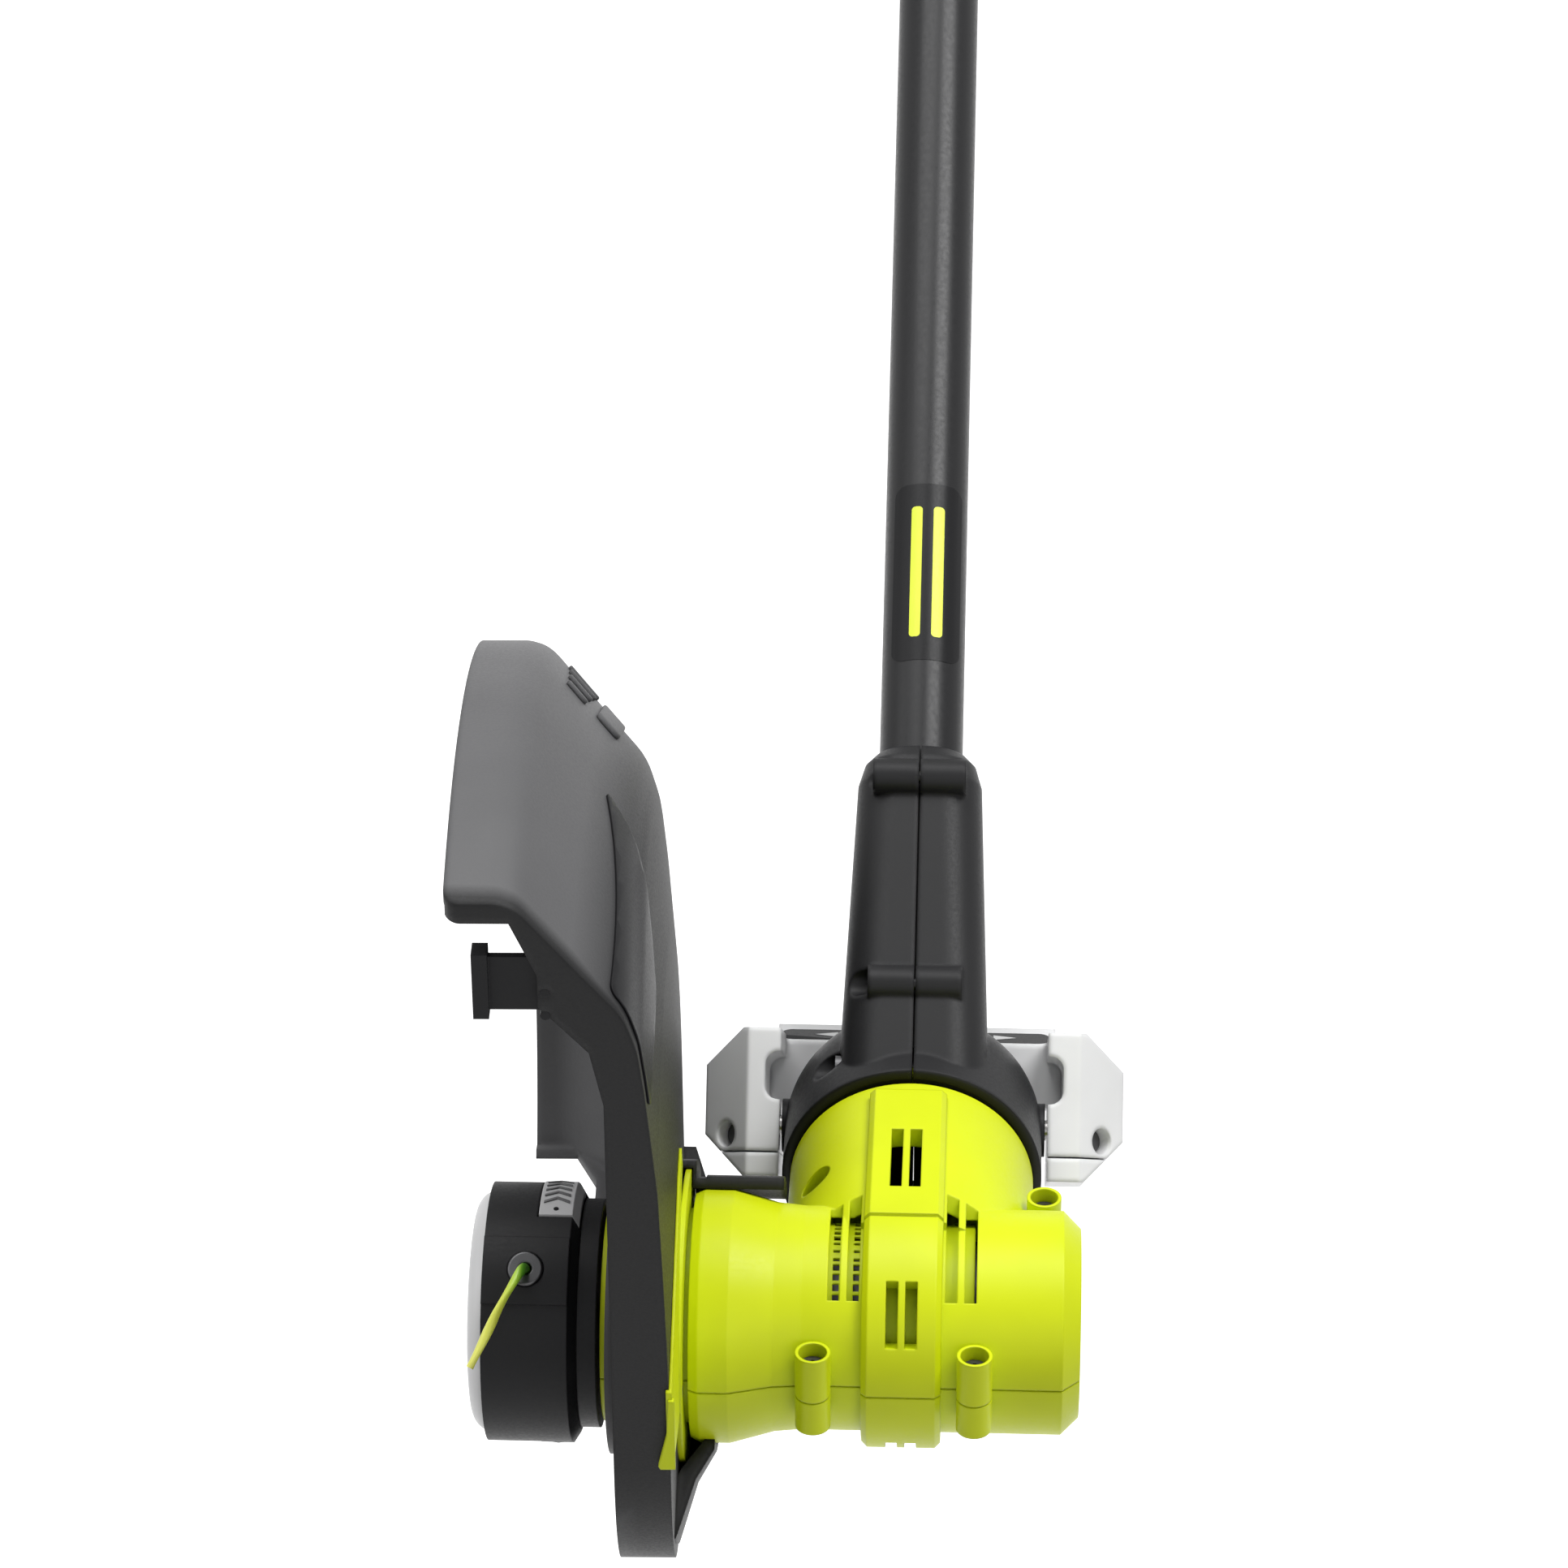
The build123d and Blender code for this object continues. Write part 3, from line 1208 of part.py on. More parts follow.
# Rear handle, a clamshell split on the shaft's plane
def handle_outline():
    return Polyline(
        (-SLEEVE_HALF, HANDLE_FOOT),
        (SLEEVE_HALF, HANDLE_FOOT),
        (GUARD_BAR_Y, WINDOW_Z - GUARD_BAR),
        (GUARD_BAR_Y, DOCK_END),
        (DOCK_TOP, DOCK_END),
        (DOCK_TOP, DOCK_Z),
        (GRIP_TOP, WINDOW_END),
        (GRIP_TOP, SLEEVE_END),
        (-SLEEVE_HALF, SLEEVE_END),
        close=True,
    )


def handle_window():
    low = GRIP_UNDER
    high = GUARD_BAR_Y - GUARD_BAR
    window = block(-HANDLE_HALF, HANDLE_HALF, low, high, WINDOW_Z, WINDOW_END)
    return fillet(window.edges().filter_by(Axis.X), GUARD_BAR)


def trigger_slot():
    side = TRIGGER_HALF + PLAY
    return block(-side, side, 0, GRIP_UNDER, TRIGGER_Z - PLAY * 4, TRIGGER_Z + TRIGGER_LENGTH + PLAY)


def handle_screw_places():
    rear = (WINDOW_END + DOCK_Z) / 2
    bar = GUARD_BAR_Y - GUARD_BAR / 2
    return ((bar, WINDOW_Z + GUARD_BAR), (bar, WINDOW_END - GUARD_BAR), (GRIP_UNDER / 2 + GUARD_BAR, rear))


def rear_handle():
    body = side_plate(handle_outline(), HANDLE_HALF)
    body = body + rod_z(HANDLE_FOOT, SLEEVE_END, SLEEVE_HALF)
    body = body - handle_window()
    wall = HANDLE_WALL
    body = body - rod_z(HANDLE_FOOT, UPPER_TOP, UPPER_R + SEAT)
    body = body - block(-CAVITY_HALF, CAVITY_HALF, GRIP_TOP + wall, GRIP_UNDER - wall, SLEEVE_END, DOCK_Z)
    body = body - rod_z(UPPER_TOP, SLEEVE_END, UPPER_BORE)
    body = body - trigger_slot()
    post = POST_HALF + PLAY
    body = body - block(-post, post, POST_TOP - PLAY, POST_UNDER + PLAY, POST_FLOOR - PLAY, DOCK_END)
    body = body - rod_y(GRIP_TOP - wall, GRIP_TOP + wall * 2, LOCKOFF_R + RUN, 0, LOCKOFF_Z)
    body = body - rod_x(-HANDLE_HALF, HANDLE_HALF, HANG_R, GUARD_BAR_Y - HANG_EDGE, DOCK_END - HANG_EDGE)
    for y, z in handle_screw_places():
        body = body - rod_x(-HANDLE_HALF, -HANDLE_HALF + RECESS_DEPTH, RECESS_R, y, z)
        body = body - rod_x(-HANDLE_HALF, HANDLE_HALF - RECESS_DEPTH, SCREW_R + SEAT, y, z)
    return body


def rear_handle_left():
    return on_shaft(REAR_HANDLE & block(-BIG, 0, -BIG, BIG, 0, BIG * 3))


def rear_handle_right():
    return on_shaft(REAR_HANDLE & block(0, BIG, -BIG, BIG, 0, BIG * 3))


def handle_screws():
    pieces = []
    for y, z in handle_screw_places():
        face = -HANDLE_HALF + RECESS_DEPTH
        head = rod_x(face - SCREW_HEAD, face, SCREW_HEAD_R, y, z)
        pieces.append(head + rod_x(face, HANDLE_HALF - RECESS_DEPTH, SCREW_R, y, z))
    return on_shaft(Compound(pieces))


def trigger_pivot():
    return (GRIP_UNDER - HANDLE_WALL - TRIGGER_PIN_R, TRIGGER_Z + TRIGGER_LENGTH - TRIGGER_PIN_R * 2)


def trigger():
    top = GRIP_UNDER - HANDLE_WALL + PLAY
    y, z = trigger_pivot()
    body = block(
        -TRIGGER_HALF, TRIGGER_HALF, top, GRIP_UNDER + TRIGGER_DROP, TRIGGER_Z, TRIGGER_Z + TRIGGER_LENGTH
    )
    low = body.edges().group_by(Axis.Y)[-1]
    body = fillet(low, TRIGGER_HALF / 2)
    eye = rod_x(-TRIGGER_HALF, TRIGGER_HALF, TRIGGER_PIN_R * 2, y, z)
    return on_shaft(body + eye - rod_x(-TRIGGER_HALF, TRIGGER_HALF, TRIGGER_PIN_R + RUN, y, z))


def trigger_pin():
    y, z = trigger_pivot()
    return on_shaft(rod_x(-CAVITY_HALF, CAVITY_HALF, TRIGGER_PIN_R, y, z))


def switch_floor():
    return GRIP_UNDER - HANDLE_WALL - TRIGGER_PIN_R * 3 - PLAY


def switch_body():
    base = switch_floor()
    low = SWITCH_Z - SWITCH_LENGTH / 2
    high = SWITCH_Z + SWITCH_LENGTH / 2
    return on_shaft(block(-CAVITY_HALF, CAVITY_HALF, base - SWITCH_DEPTH, base, low, high))


def trigger_spring():
    base = switch_floor()
    top = GRIP_UNDER - HANDLE_WALL + PLAY
    coil = Rot(-90, 0, 0) * spring(base, top, TRIGGER_HALF / 2, SPRING_WIRE / 2)
    return on_shaft(Pos(0, 0, SWITCH_Z) * coil)


def lockoff_button():
    top = GRIP_TOP - LOCKOFF_RAISE
    button = rod_y(top, GRIP_TOP + HANDLE_WALL, LOCKOFF_R, 0, LOCKOFF_Z)
    button = fillet(button.edges().group_by(Axis.Y)[0], LOCKOFF_RAISE / 3)
    under = GRIP_TOP + HANDLE_WALL
    flange = rod_y(under, under + LOCKOFF_FLANGE, LOCKOFF_R + HANDLE_WALL / 2, 0, LOCKOFF_Z)
    return on_shaft(button + flange)


def terminal_block():
    post = POST_HALF + PLAY
    body = block(-post, post, POST_TOP - PLAY, POST_UNDER + PLAY, POST_FLOOR - PLAY, POST_FLOOR + HANDLE_WALL)
    return on_shaft(body)


# Battery on its post
def battery_case():
    outer = block(-BATTERY_HALF, BATTERY_HALF, BATTERY_TOP, BATTERY_UNDER, BATTERY_Z, BATTERY_END)
    outer = fillet(outer.edges().filter_by(Axis.Z), BATTERY_ROUND)
    outer = fillet(outer.edges().group_by(Axis.Z)[-1], BATTERY_WALL)
    return outer


def battery_cavity():
    wall = BATTERY_WALL
    half = BATTERY_HALF - wall
    low = BATTERY_Z + wall
    high = BATTERY_END - wall
    return block(-half, half, BATTERY_TOP + wall, BATTERY_UNDER - wall, low, high)


def battery_parting():
    return BATTERY_END - BATTERY_LID


def latch_pocket(grow):
    half = BATTERY_LATCH_WIDTH / 2 + grow
    middle = (BATTERY_Z + battery_parting()) / 2
    high = BATTERY_LATCH_HEIGHT / 2 + grow
    depth = BATTERY_HALF - BATTERY_LATCH_DEPTH - grow
    centre = (BATTERY_TOP + BATTERY_UNDER) / 2
    outer = BATTERY_HALF + BATTERY_LATCH_RAISE
    return block(depth, outer, centre - half, centre + half, middle - high, middle + high)


def battery_body():
    low = POST_FLOOR + HANDLE_WALL + PLAY
    post = block(-POST_HALF, POST_HALF, POST_TOP, POST_UNDER, low, BATTERY_Z + BATTERY_WALL)
    body = battery_case() & block(-BIG, BIG, -BIG, BIG, 0, battery_parting())
    body = body - battery_cavity()
    frame = latch_pocket(BATTERY_WALL) & battery_case()
    body = body + both_sides(frame) + post
    room = Pos(-BATTERY_LATCH_TRAVEL, 0, 0) * latch_pocket(PLAY) + latch_pocket(PLAY)
    return on_shaft(body - both_sides(room))


def battery_lid():
    body = battery_case() & block(-BIG, BIG, -BIG, BIG, battery_parting(), BIG * 3)
    return on_shaft(body - battery_cavity())


def battery_latch():
    piece = latch_pocket(0)
    outer = piece.edges().group_by(Axis.X)[-1]
    return fillet(outer, BATTERY_LATCH_RAISE / 2)


def battery_latch_right():
    return on_shaft(battery_latch())


def battery_latch_left():
    return on_shaft(mirror(battery_latch(), about=Plane.YZ))


def battery_cells():
    cells = []
    low = BATTERY_Z + BATTERY_WALL
    centre = (BATTERY_TOP + BATTERY_UNDER) / 2
    for row in range(4):
        y = centre + (row - 1.5) * 2 * CELL_R
        cells.append(rod_z(low, BATTERY_END - BATTERY_WALL, CELL_R - SEAT, 0, y))
    return on_shaft(Compound(cells))


HOUSING = housing()
YOKE = yoke()
REAR_HANDLE = rear_handle()

PARTS = {
    "bump_cap": bump_cap,
    "drum": drum,
    "drive_hub": drive_hub,
    "line_spool": line_spool,
    "wound_line": wound_line,
    "bump_spring": bump_spring,
    "eyelet": eyelet,
    "trimmer_line": trimmer_line,
    "drum_latch_upper": lambda: drum_latch(LATCH_ANGLE),
    "drum_latch_lower": lambda: drum_latch(LATCH_ANGLE + 180),
    "spindle": spindle,
    "armature": armature,
    "motor_can": motor_can,
    "motor_end_bell": motor_end_bell,
    "front_bearing": lambda: bearing(BEARING_X, BEARING_LENGTH, BEARING_R),
    "rear_bearing": lambda: bearing(ENDBELL_END, REAR_BEARING_LENGTH, REAR_BEARING_R),
    "cooling_fan": cooling_fan,
    "housing_upper": housing_upper,
    "housing_lower": housing_lower,
    "housing_screws": housing_screws,
    "guard": guard,
    "guard_retainer": guard_retainer,
    "guard_screws": guard_screws,
    "cutter_blade": cutter_blade,
    "cutter_rivets": cutter_rivets,
    "yoke_left": yoke_left,
    "yoke_right": yoke_right,
    "yoke_screws": yoke_screws,
    "lock_pin": lock_pin,
    "lock_spring": lock_spring,
    "pedal_shell": pedal_shell,
    "pedal_covers": pedal_covers,
    "pedal_screws": pedal_screws,
    "pedal_pins": pedal_pins,
    "lower_tube": lower_tube,
    "upper_tube": upper_tube,
    "clamp_collar": clamp_collar,
    "clamp_bolt": clamp_bolt,
    "lever_pin": lever_pin,
    "clamp_lever": clamp_lever,
    "handle_bracket": handle_bracket,
    "front_handle": front_handle,
    "front_grip": front_grip,
    "handle_bolt": handle_bolt,
    "handle_knob": handle_knob,
    "rear_handle_left": rear_handle_left,
    "rear_handle_right": rear_handle_right,
    "handle_screws": handle_screws,
    "trigger": trigger,
    "trigger_pin": trigger_pin,
    "trigger_spring": trigger_spring,
    "lockoff_button": lockoff_button,
    "switch_body": switch_body,
    "terminal_block": terminal_block,
    "battery_body": battery_body,
    "battery_lid": battery_lid,
    "battery_cells": battery_cells,
    "battery_latch_left": battery_latch_left,
    "battery_latch_right": battery_latch_right,
}

for part_name, make in PARTS.items():
    save(part_name, make())
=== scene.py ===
import json
import math

import bpy
from mathutils import Matrix, Vector


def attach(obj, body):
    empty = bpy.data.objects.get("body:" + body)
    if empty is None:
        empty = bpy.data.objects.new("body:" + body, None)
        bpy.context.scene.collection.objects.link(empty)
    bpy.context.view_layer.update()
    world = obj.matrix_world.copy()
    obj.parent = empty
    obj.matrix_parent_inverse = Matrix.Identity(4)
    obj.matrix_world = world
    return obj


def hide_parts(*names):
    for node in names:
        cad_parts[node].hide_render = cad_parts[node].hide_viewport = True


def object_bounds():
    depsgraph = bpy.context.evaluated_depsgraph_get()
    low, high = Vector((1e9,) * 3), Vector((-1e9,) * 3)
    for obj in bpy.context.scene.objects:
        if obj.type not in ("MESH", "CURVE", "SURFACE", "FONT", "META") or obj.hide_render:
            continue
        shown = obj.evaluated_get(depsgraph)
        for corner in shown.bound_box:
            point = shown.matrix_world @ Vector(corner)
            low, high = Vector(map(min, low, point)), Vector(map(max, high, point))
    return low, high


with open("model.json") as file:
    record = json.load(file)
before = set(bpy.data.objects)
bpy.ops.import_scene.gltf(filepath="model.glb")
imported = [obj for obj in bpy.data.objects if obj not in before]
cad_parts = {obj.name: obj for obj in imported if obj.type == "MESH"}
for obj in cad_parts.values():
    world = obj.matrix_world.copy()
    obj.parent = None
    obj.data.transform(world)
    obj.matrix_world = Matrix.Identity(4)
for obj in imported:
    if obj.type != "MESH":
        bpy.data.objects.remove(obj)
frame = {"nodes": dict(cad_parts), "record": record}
cad_low, cad_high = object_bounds()
nodes = frame["nodes"]

MM = 0.001

# Where the camera stood, fitted to the picture
CAMERA_PLACE = Vector((0.14477, -1.20395, 0.91934))
CAMERA_SWING = math.radians(2.65)
CAMERA_DIP = math.radians(31.57)
CAMERA_ROLL = math.radians(-0.37)
PICTURE_SIZE = 1932
FOCAL_PIXELS = 6500.0
SENSOR = 36.0


# Finishes
def new_finish(name):
    finish = bpy.data.materials.new(name)
    finish.use_nodes = True
    tree = finish.node_tree
    shader = tree.nodes["Principled BSDF"]
    return finish, tree, shader


def object_coords(tree, scale=(1, 1, 1), turn=(0, 0, 0)):
    coords = tree.nodes.new("ShaderNodeTexCoord")
    mapping = tree.nodes.new("ShaderNodeMapping")
    mapping.inputs["Scale"].default_value = scale
    mapping.inputs["Rotation"].default_value = turn
    tree.links.new(coords.outputs["Object"], mapping.inputs["Vector"])
    return mapping.outputs["Vector"]


def noise(tree, vector, scale, detail=2.0, rough=0.5):
    node = tree.nodes.new("ShaderNodeTexNoise")
    node.inputs["Scale"].default_value = scale
    node.inputs["Detail"].default_value = detail
    node.inputs["Roughness"].default_value = rough
    tree.links.new(vector, node.inputs["Vector"])
    return node.outputs["Fac"]


def ramp(tree, factor, stops):
    node = tree.nodes.new("ShaderNodeValToRGB")
    points = node.color_ramp.elements
    while len(points) < len(stops):
        points.new(0.5)
    for point, (place, colour) in zip(points, stops):
        point.position = place
        point.color = (*colour, 1.0)
    tree.links.new(factor, node.inputs["Fac"])
    return node.outputs["Color"]


def spread(tree, factor, low, high):
    node = tree.nodes.new("ShaderNodeMapRange")
    node.inputs["From Min"].default_value = 0.3
    node.inputs["From Max"].default_value = 0.7
    node.inputs["To Min"].default_value = low
    node.inputs["To Max"].default_value = high
    tree.links.new(factor, node.inputs["Value"])
    return node.outputs["Result"]


def bump(tree, shader, height, strength, depth, edge=0.0):
    node = tree.nodes.new("ShaderNodeBump")
    node.inputs["Strength"].default_value = strength
    node.inputs["Distance"].default_value = depth
    tree.links.new(height, node.inputs["Height"])
    tree.links.new(node.outputs["Normal"], shader.inputs["Normal"])
    if edge:
        rounding = tree.nodes.new("ShaderNodeBevel")
        rounding.samples = 6
        rounding.inputs["Radius"].default_value = edge
        tree.links.new(rounding.outputs["Normal"], node.inputs["Normal"])


def shade(colour, factor):
    return tuple(min(1.0, c * factor) for c in colour)


def moulded(name, colour, rough, grain, depth, gloss=0.0, edge=0.0, shine=0.5):
    finish, tree, shader = new_finish(name)
    vector = object_coords(tree)
    cloud = noise(tree, vector, 22.0, 3.0)
    fine = noise(tree, vector, grain, 3.0, 0.6)
    tint = ramp(tree, cloud, [(0.3, shade(colour, 0.93)), (0.7, shade(colour, 1.05))])
    tree.links.new(tint, shader.inputs["Base Color"])
    tree.links.new(spread(tree, fine, rough - 0.06, rough + 0.06), shader.inputs["Roughness"])
    shader.inputs["Specular IOR Level"].default_value = shine
    shader.inputs["Coat Weight"].default_value = gloss
    shader.inputs["Coat Roughness"].default_value = 0.25
    bump(tree, shader, fine, 0.35, depth, edge)
    return finish


def metal(name, colour, rough, lines):
    finish, tree, shader = new_finish(name)
    vector = object_coords(tree, lines)
    streak = noise(tree, vector, 90.0, 2.0)
    tint = ramp(tree, streak, [(0.3, shade(colour, 0.85)), (0.7, shade(colour, 1.08))])
    tree.links.new(tint, shader.inputs["Base Color"])
    tree.links.new(spread(tree, streak, rough - 0.08, rough + 0.08), shader.inputs["Roughness"])
    shader.inputs["Metallic"].default_value = 1.0
    bump(tree, shader, streak, 0.1, 0.00005)
    return finish


# The guard's roof and front get painted shade, placed by position in metres
GUARD_ROOF_SHADE_FROM = 0.036
GUARD_ROOF_SHADE_TO = 0.05
GUARD_FRONT_SHADE_FROM = -0.06
GUARD_FRONT_SHADE_TO = -0.064


def guard_moulding(name):
    finish, tree, shader = new_finish(name)
    vector = object_coords(tree)
    split = tree.nodes.new("ShaderNodeSeparateXYZ")
    tree.links.new(vector, split.inputs["Vector"])
    roof = tree.nodes.new("ShaderNodeMapRange")
    roof.inputs["From Min"].default_value = GUARD_ROOF_SHADE_FROM
    roof.inputs["From Max"].default_value = GUARD_ROOF_SHADE_TO
    tree.links.new(split.outputs["X"], roof.inputs["Value"])
    front = tree.nodes.new("ShaderNodeMapRange")
    front.inputs["From Min"].default_value = GUARD_FRONT_SHADE_FROM
    front.inputs["From Max"].default_value = GUARD_FRONT_SHADE_TO
    tree.links.new(split.outputs["Y"], front.inputs["Value"])
    shade_mask = tree.nodes.new("ShaderNodeMath")
    shade_mask.operation = "MAXIMUM"
    tree.links.new(roof.outputs["Result"], shade_mask.inputs[0])
    tree.links.new(front.outputs["Result"], shade_mask.inputs[1])
    cloud = noise(tree, vector, 22.0, 3.0)
    fine = noise(tree, vector, 1300.0, 3.0, 0.6)
    tint = ramp(tree, cloud, [(0.3, shade(SLATE, 0.92)), (0.7, shade(SLATE, 1.06))])
    # Painted shade: the roof and front are mixed towards a near-black charcoal
    blend = tree.nodes.new("ShaderNodeMixRGB")
    blend.inputs["Color2"].default_value = (*shade(GUARD_SHADE_CHARCOAL, 0.6), 1)
    tree.links.new(shade_mask.outputs["Value"], blend.inputs["Fac"])
    tree.links.new(tint, blend.inputs["Color1"])
    tree.links.new(blend.outputs["Color"], shader.inputs["Base Color"])
    tree.links.new(spread(tree, fine, 0.44, 0.58), shader.inputs["Roughness"])
    shader.inputs["Specular IOR Level"].default_value = 0.22
    bump(tree, shader, fine, 0.4, 0.00012, 0.003)
    return finish


LIME = (0.62, 0.71, 0.004)
BLACK = (0.011, 0.011, 0.012)
INK = (0.008, 0.008, 0.009)
HANDLE = (0.014, 0.014, 0.015)
NECK = (0.017, 0.017, 0.018)
# Near-black used only as the painted shade on the guard's roof and front
GUARD_SHADE_CHARCOAL = (0.021, 0.021, 0.022)
SLATE = (0.1, 0.1, 0.103)
PALE = (0.8, 0.803, 0.807)
ASH = (0.34, 0.34, 0.345)
CAP = (0.72, 0.72, 0.725)
LATCH = (0.55, 0.55, 0.555)

lime_shell = moulded("lime_shell", LIME, rough=0.42, grain=900.0, depth=0.00004, edge=0.0008, shine=0.28)
black_shell = moulded("black_shell", BLACK, rough=0.45, grain=1100.0, depth=0.00006, edge=0.0006, shine=0.16)
neck_shell = moulded("neck_shell", NECK, rough=0.42, grain=1100.0, depth=0.00005, edge=0.002, shine=0.16)
guard_grain_painted_shade = guard_moulding("guard_grain_painted_shade")
pale_shell = moulded("pale_shell", PALE, rough=0.42, grain=1000.0, depth=0.00004, edge=0.0022)
cap_shell = moulded("cap_shell", CAP, rough=0.4, grain=1000.0, depth=0.00004, edge=0.001)
handle_shell = moulded("handle_shell", HANDLE, rough=0.5, grain=900.0, depth=0.00008, edge=0.003, shine=0.25)
latch_shell = moulded("latch_shell", LATCH, rough=0.42, grain=1000.0, depth=0.00004, edge=0.0005)
ash_shell = moulded("ash_shell", ASH, rough=0.42, grain=1000.0, depth=0.00004, edge=0.0005)
grip_rubber = moulded("grip_rubber", (0.02, 0.02, 0.021), rough=0.75, grain=700.0, depth=0.00015, edge=0.0008)
nylon_line = moulded("nylon_line", (0.55, 0.66, 0.03), rough=0.35, grain=600.0, depth=0.00003, gloss=0.3)
tube_paint = moulded("tube_paint", INK, rough=0.34, grain=700.0, depth=0.000002, shine=0.26)
print_black = moulded("print_black", INK, rough=0.34, grain=1400.0, depth=0.00002, shine=0.16)
print_grey = moulded("print_grey", (0.03, 0.03, 0.031), rough=0.4, grain=1400.0, depth=0.00002, shine=0.3)
print_white = moulded("print_white", (0.72, 0.72, 0.72), rough=0.4, grain=1400.0, depth=0.00002)
print_lime = moulded("print_lime", (0.66, 0.74, 0.02), rough=0.4, grain=1400.0, depth=0.00002)
plain_steel = metal("plain_steel", (0.52, 0.51, 0.50), 0.32, (1, 1, 1))
eyelet_steel = metal("eyelet_steel", (0.07, 0.07, 0.072), 0.34, (1, 1, 1))
# Grey for the latch chevrons, set deeper than the latch as painted shade
chevron_shade_grey = moulded("chevron_shade_grey", (0.13, 0.13, 0.133), rough=0.45, grain=1000.0, depth=0.00003)
dull_steel = metal("dull_steel", (0.1, 0.1, 0.103), 0.45, (1, 8, 8))

FINISHES = {
    "pale_plastic": pale_shell,
    "black_plastic": black_shell,
    "grey_plastic": ash_shell,
    "lime_plastic": lime_shell,
    "guard_plastic": guard_grain_painted_shade,
    "line_nylon": nylon_line,
    "charcoal_metal": tube_paint,
    "grip_rubber": grip_rubber,
    "steel": plain_steel,
}
NODE_FINISHES = {
    "bump_cap": cap_shell,
    "yoke_left": neck_shell,
    "yoke_right": neck_shell,
    "motor_can": dull_steel,
    "motor_end_bell": dull_steel,
    "armature": dull_steel,
    "eyelet": eyelet_steel,
    "rear_handle_left": handle_shell,
    "rear_handle_right": handle_shell,
    "battery_body": handle_shell,
    "battery_lid": handle_shell,
    "drum_latch_upper": latch_shell,
    "drum_latch_lower": latch_shell,
    "cutter_blade": black_shell,
    "cutter_rivets": black_shell,
    "yoke_screws": dull_steel,
    "housing_screws": dull_steel,
    "pedal_screws": dull_steel,
}
for subpart in frame["record"]["subparts"]:
    node = nodes[subpart["node"]]
    node.data.materials.clear()
    node.data.materials.append(NODE_FINISHES.get(subpart["node"], FINISHES[subpart["material_slot"]]))


# Thin pieces laid on a moulded face
LIFT = 0.00002


def clear_choice():
    if bpy.context.object and bpy.context.object.mode != "OBJECT":
        bpy.ops.object.mode_set(mode="OBJECT")
    bpy.ops.object.select_all(action="DESELECT")


def cut_across(width, height, cuts):
    for count, size, side in ((cuts[0], width, (1, 0, 0)), (cuts[1], height, (0, 1, 0))):
        for i in range(1, count):
            middle = Vector(side) * (i / count - 0.5) * size
            bpy.ops.mesh.select_all(action="SELECT")
            bpy.ops.mesh.bisect(plane_co=middle, plane_no=side)


def flat_plate(name, width, height, corner, cuts=(2, 2)):
    clear_choice()
    width = width * MM
    height = height * MM
    bpy.ops.mesh.primitive_plane_add(size=1)
    piece = bpy.context.object
    piece.name = name
    piece.scale = (width, height, 1)
    bpy.ops.object.transform_apply(location=False, rotation=False, scale=True)
    bpy.ops.object.mode_set(mode="EDIT")
    bpy.ops.mesh.select_all(action="SELECT")
    if corner:
        bpy.ops.mesh.bevel(offset=corner * MM, segments=6, affect="VERTICES")
    cut_across(width, height, cuts)
    bpy.ops.object.mode_set(mode="OBJECT")
    return piece


def pull(piece, wanted, move):
    bpy.ops.object.mode_set(mode="EDIT")
    bpy.ops.mesh.select_all(action="DESELECT")
    bpy.ops.object.mode_set(mode="OBJECT")
    for point in piece.data.vertices:
        point.select = wanted(point.co)
    bpy.ops.object.mode_set(mode="EDIT")
    bpy.ops.mesh.select_mode(type="VERT")
    bpy.ops.transform.translate(value=Vector(move) * MM)
    bpy.ops.object.mode_set(mode="OBJECT")


def chevron(name, width, thick, rise):
    piece = flat_plate(name, width, thick, 0, (2, 1))
    pull(piece, lambda co: abs(co.x) < 0.0001, (0, rise, 0))
    return piece


def arrow_head(name, width, height):
    piece = flat_plate(name, width, height, 0, (1, 1))
    pull(piece, lambda co: co.x > 0 and co.y > 0, (0, -height / 2, 0))
    pull(piece, lambda co: co.x > 0 and co.y < -0.0001, (0, height / 2, 0))
    bpy.ops.object.mode_set(mode="EDIT")
    bpy.ops.mesh.select_all(action="SELECT")
    bpy.ops.mesh.remove_doubles(threshold=0.00001)
    bpy.ops.object.mode_set(mode="OBJECT")
    return piece


def round_dot(name, radius):
    clear_choice()
    bpy.ops.mesh.primitive_circle_add(vertices=24, radius=radius * MM, fill_type="NGON")
    piece = bpy.context.object
    piece.name = name
    bpy.ops.object.mode_set(mode="EDIT")
    bpy.ops.mesh.select_all(action="SELECT")
    bpy.ops.mesh.inset(thickness=radius * MM / 3)
    bpy.ops.object.mode_set(mode="OBJECT")
    return piece


def lay(piece, node, place, facing, along, thick, finish, body, edge=0.0):
    out = Vector(facing).normalized()
    across = (Vector(along) - out * out.dot(Vector(along))).normalized()
    turn = Matrix((across, out.cross(across), out)).transposed().to_4x4()
    clear_choice()
    piece.select_set(True)
    bpy.context.view_layer.objects.active = piece
    piece.matrix_world = Matrix.Translation(Vector(place) * MM) @ turn
    hug = piece.modifiers.new("hug", "SHRINKWRAP")
    hug.target = nodes[node] if isinstance(node, str) else node
    hug.wrap_method = "PROJECT"
    hug.use_project_z = True
    hug.use_negative_direction = True
    hug.use_positive_direction = False
    hug.offset = LIFT
    wall = piece.modifiers.new("wall", "SOLIDIFY")
    wall.thickness = thick * MM
    wall.offset = 1.0
    if edge:
        soft = piece.modifiers.new("soft", "BEVEL")
        soft.width = edge * MM
        soft.segments = 2
        soft.limit_method = "ANGLE"
    for name in [m.name for m in piece.modifiers]:
        bpy.ops.object.modifier_apply(modifier=name)
    bpy.ops.object.transform_apply(location=True, rotation=True, scale=True)
    bpy.ops.object.shade_smooth_by_angle(angle=math.radians(30))
    piece.data.materials.clear()
    piece.data.materials.append(finish)
    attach(piece, body)
    return piece


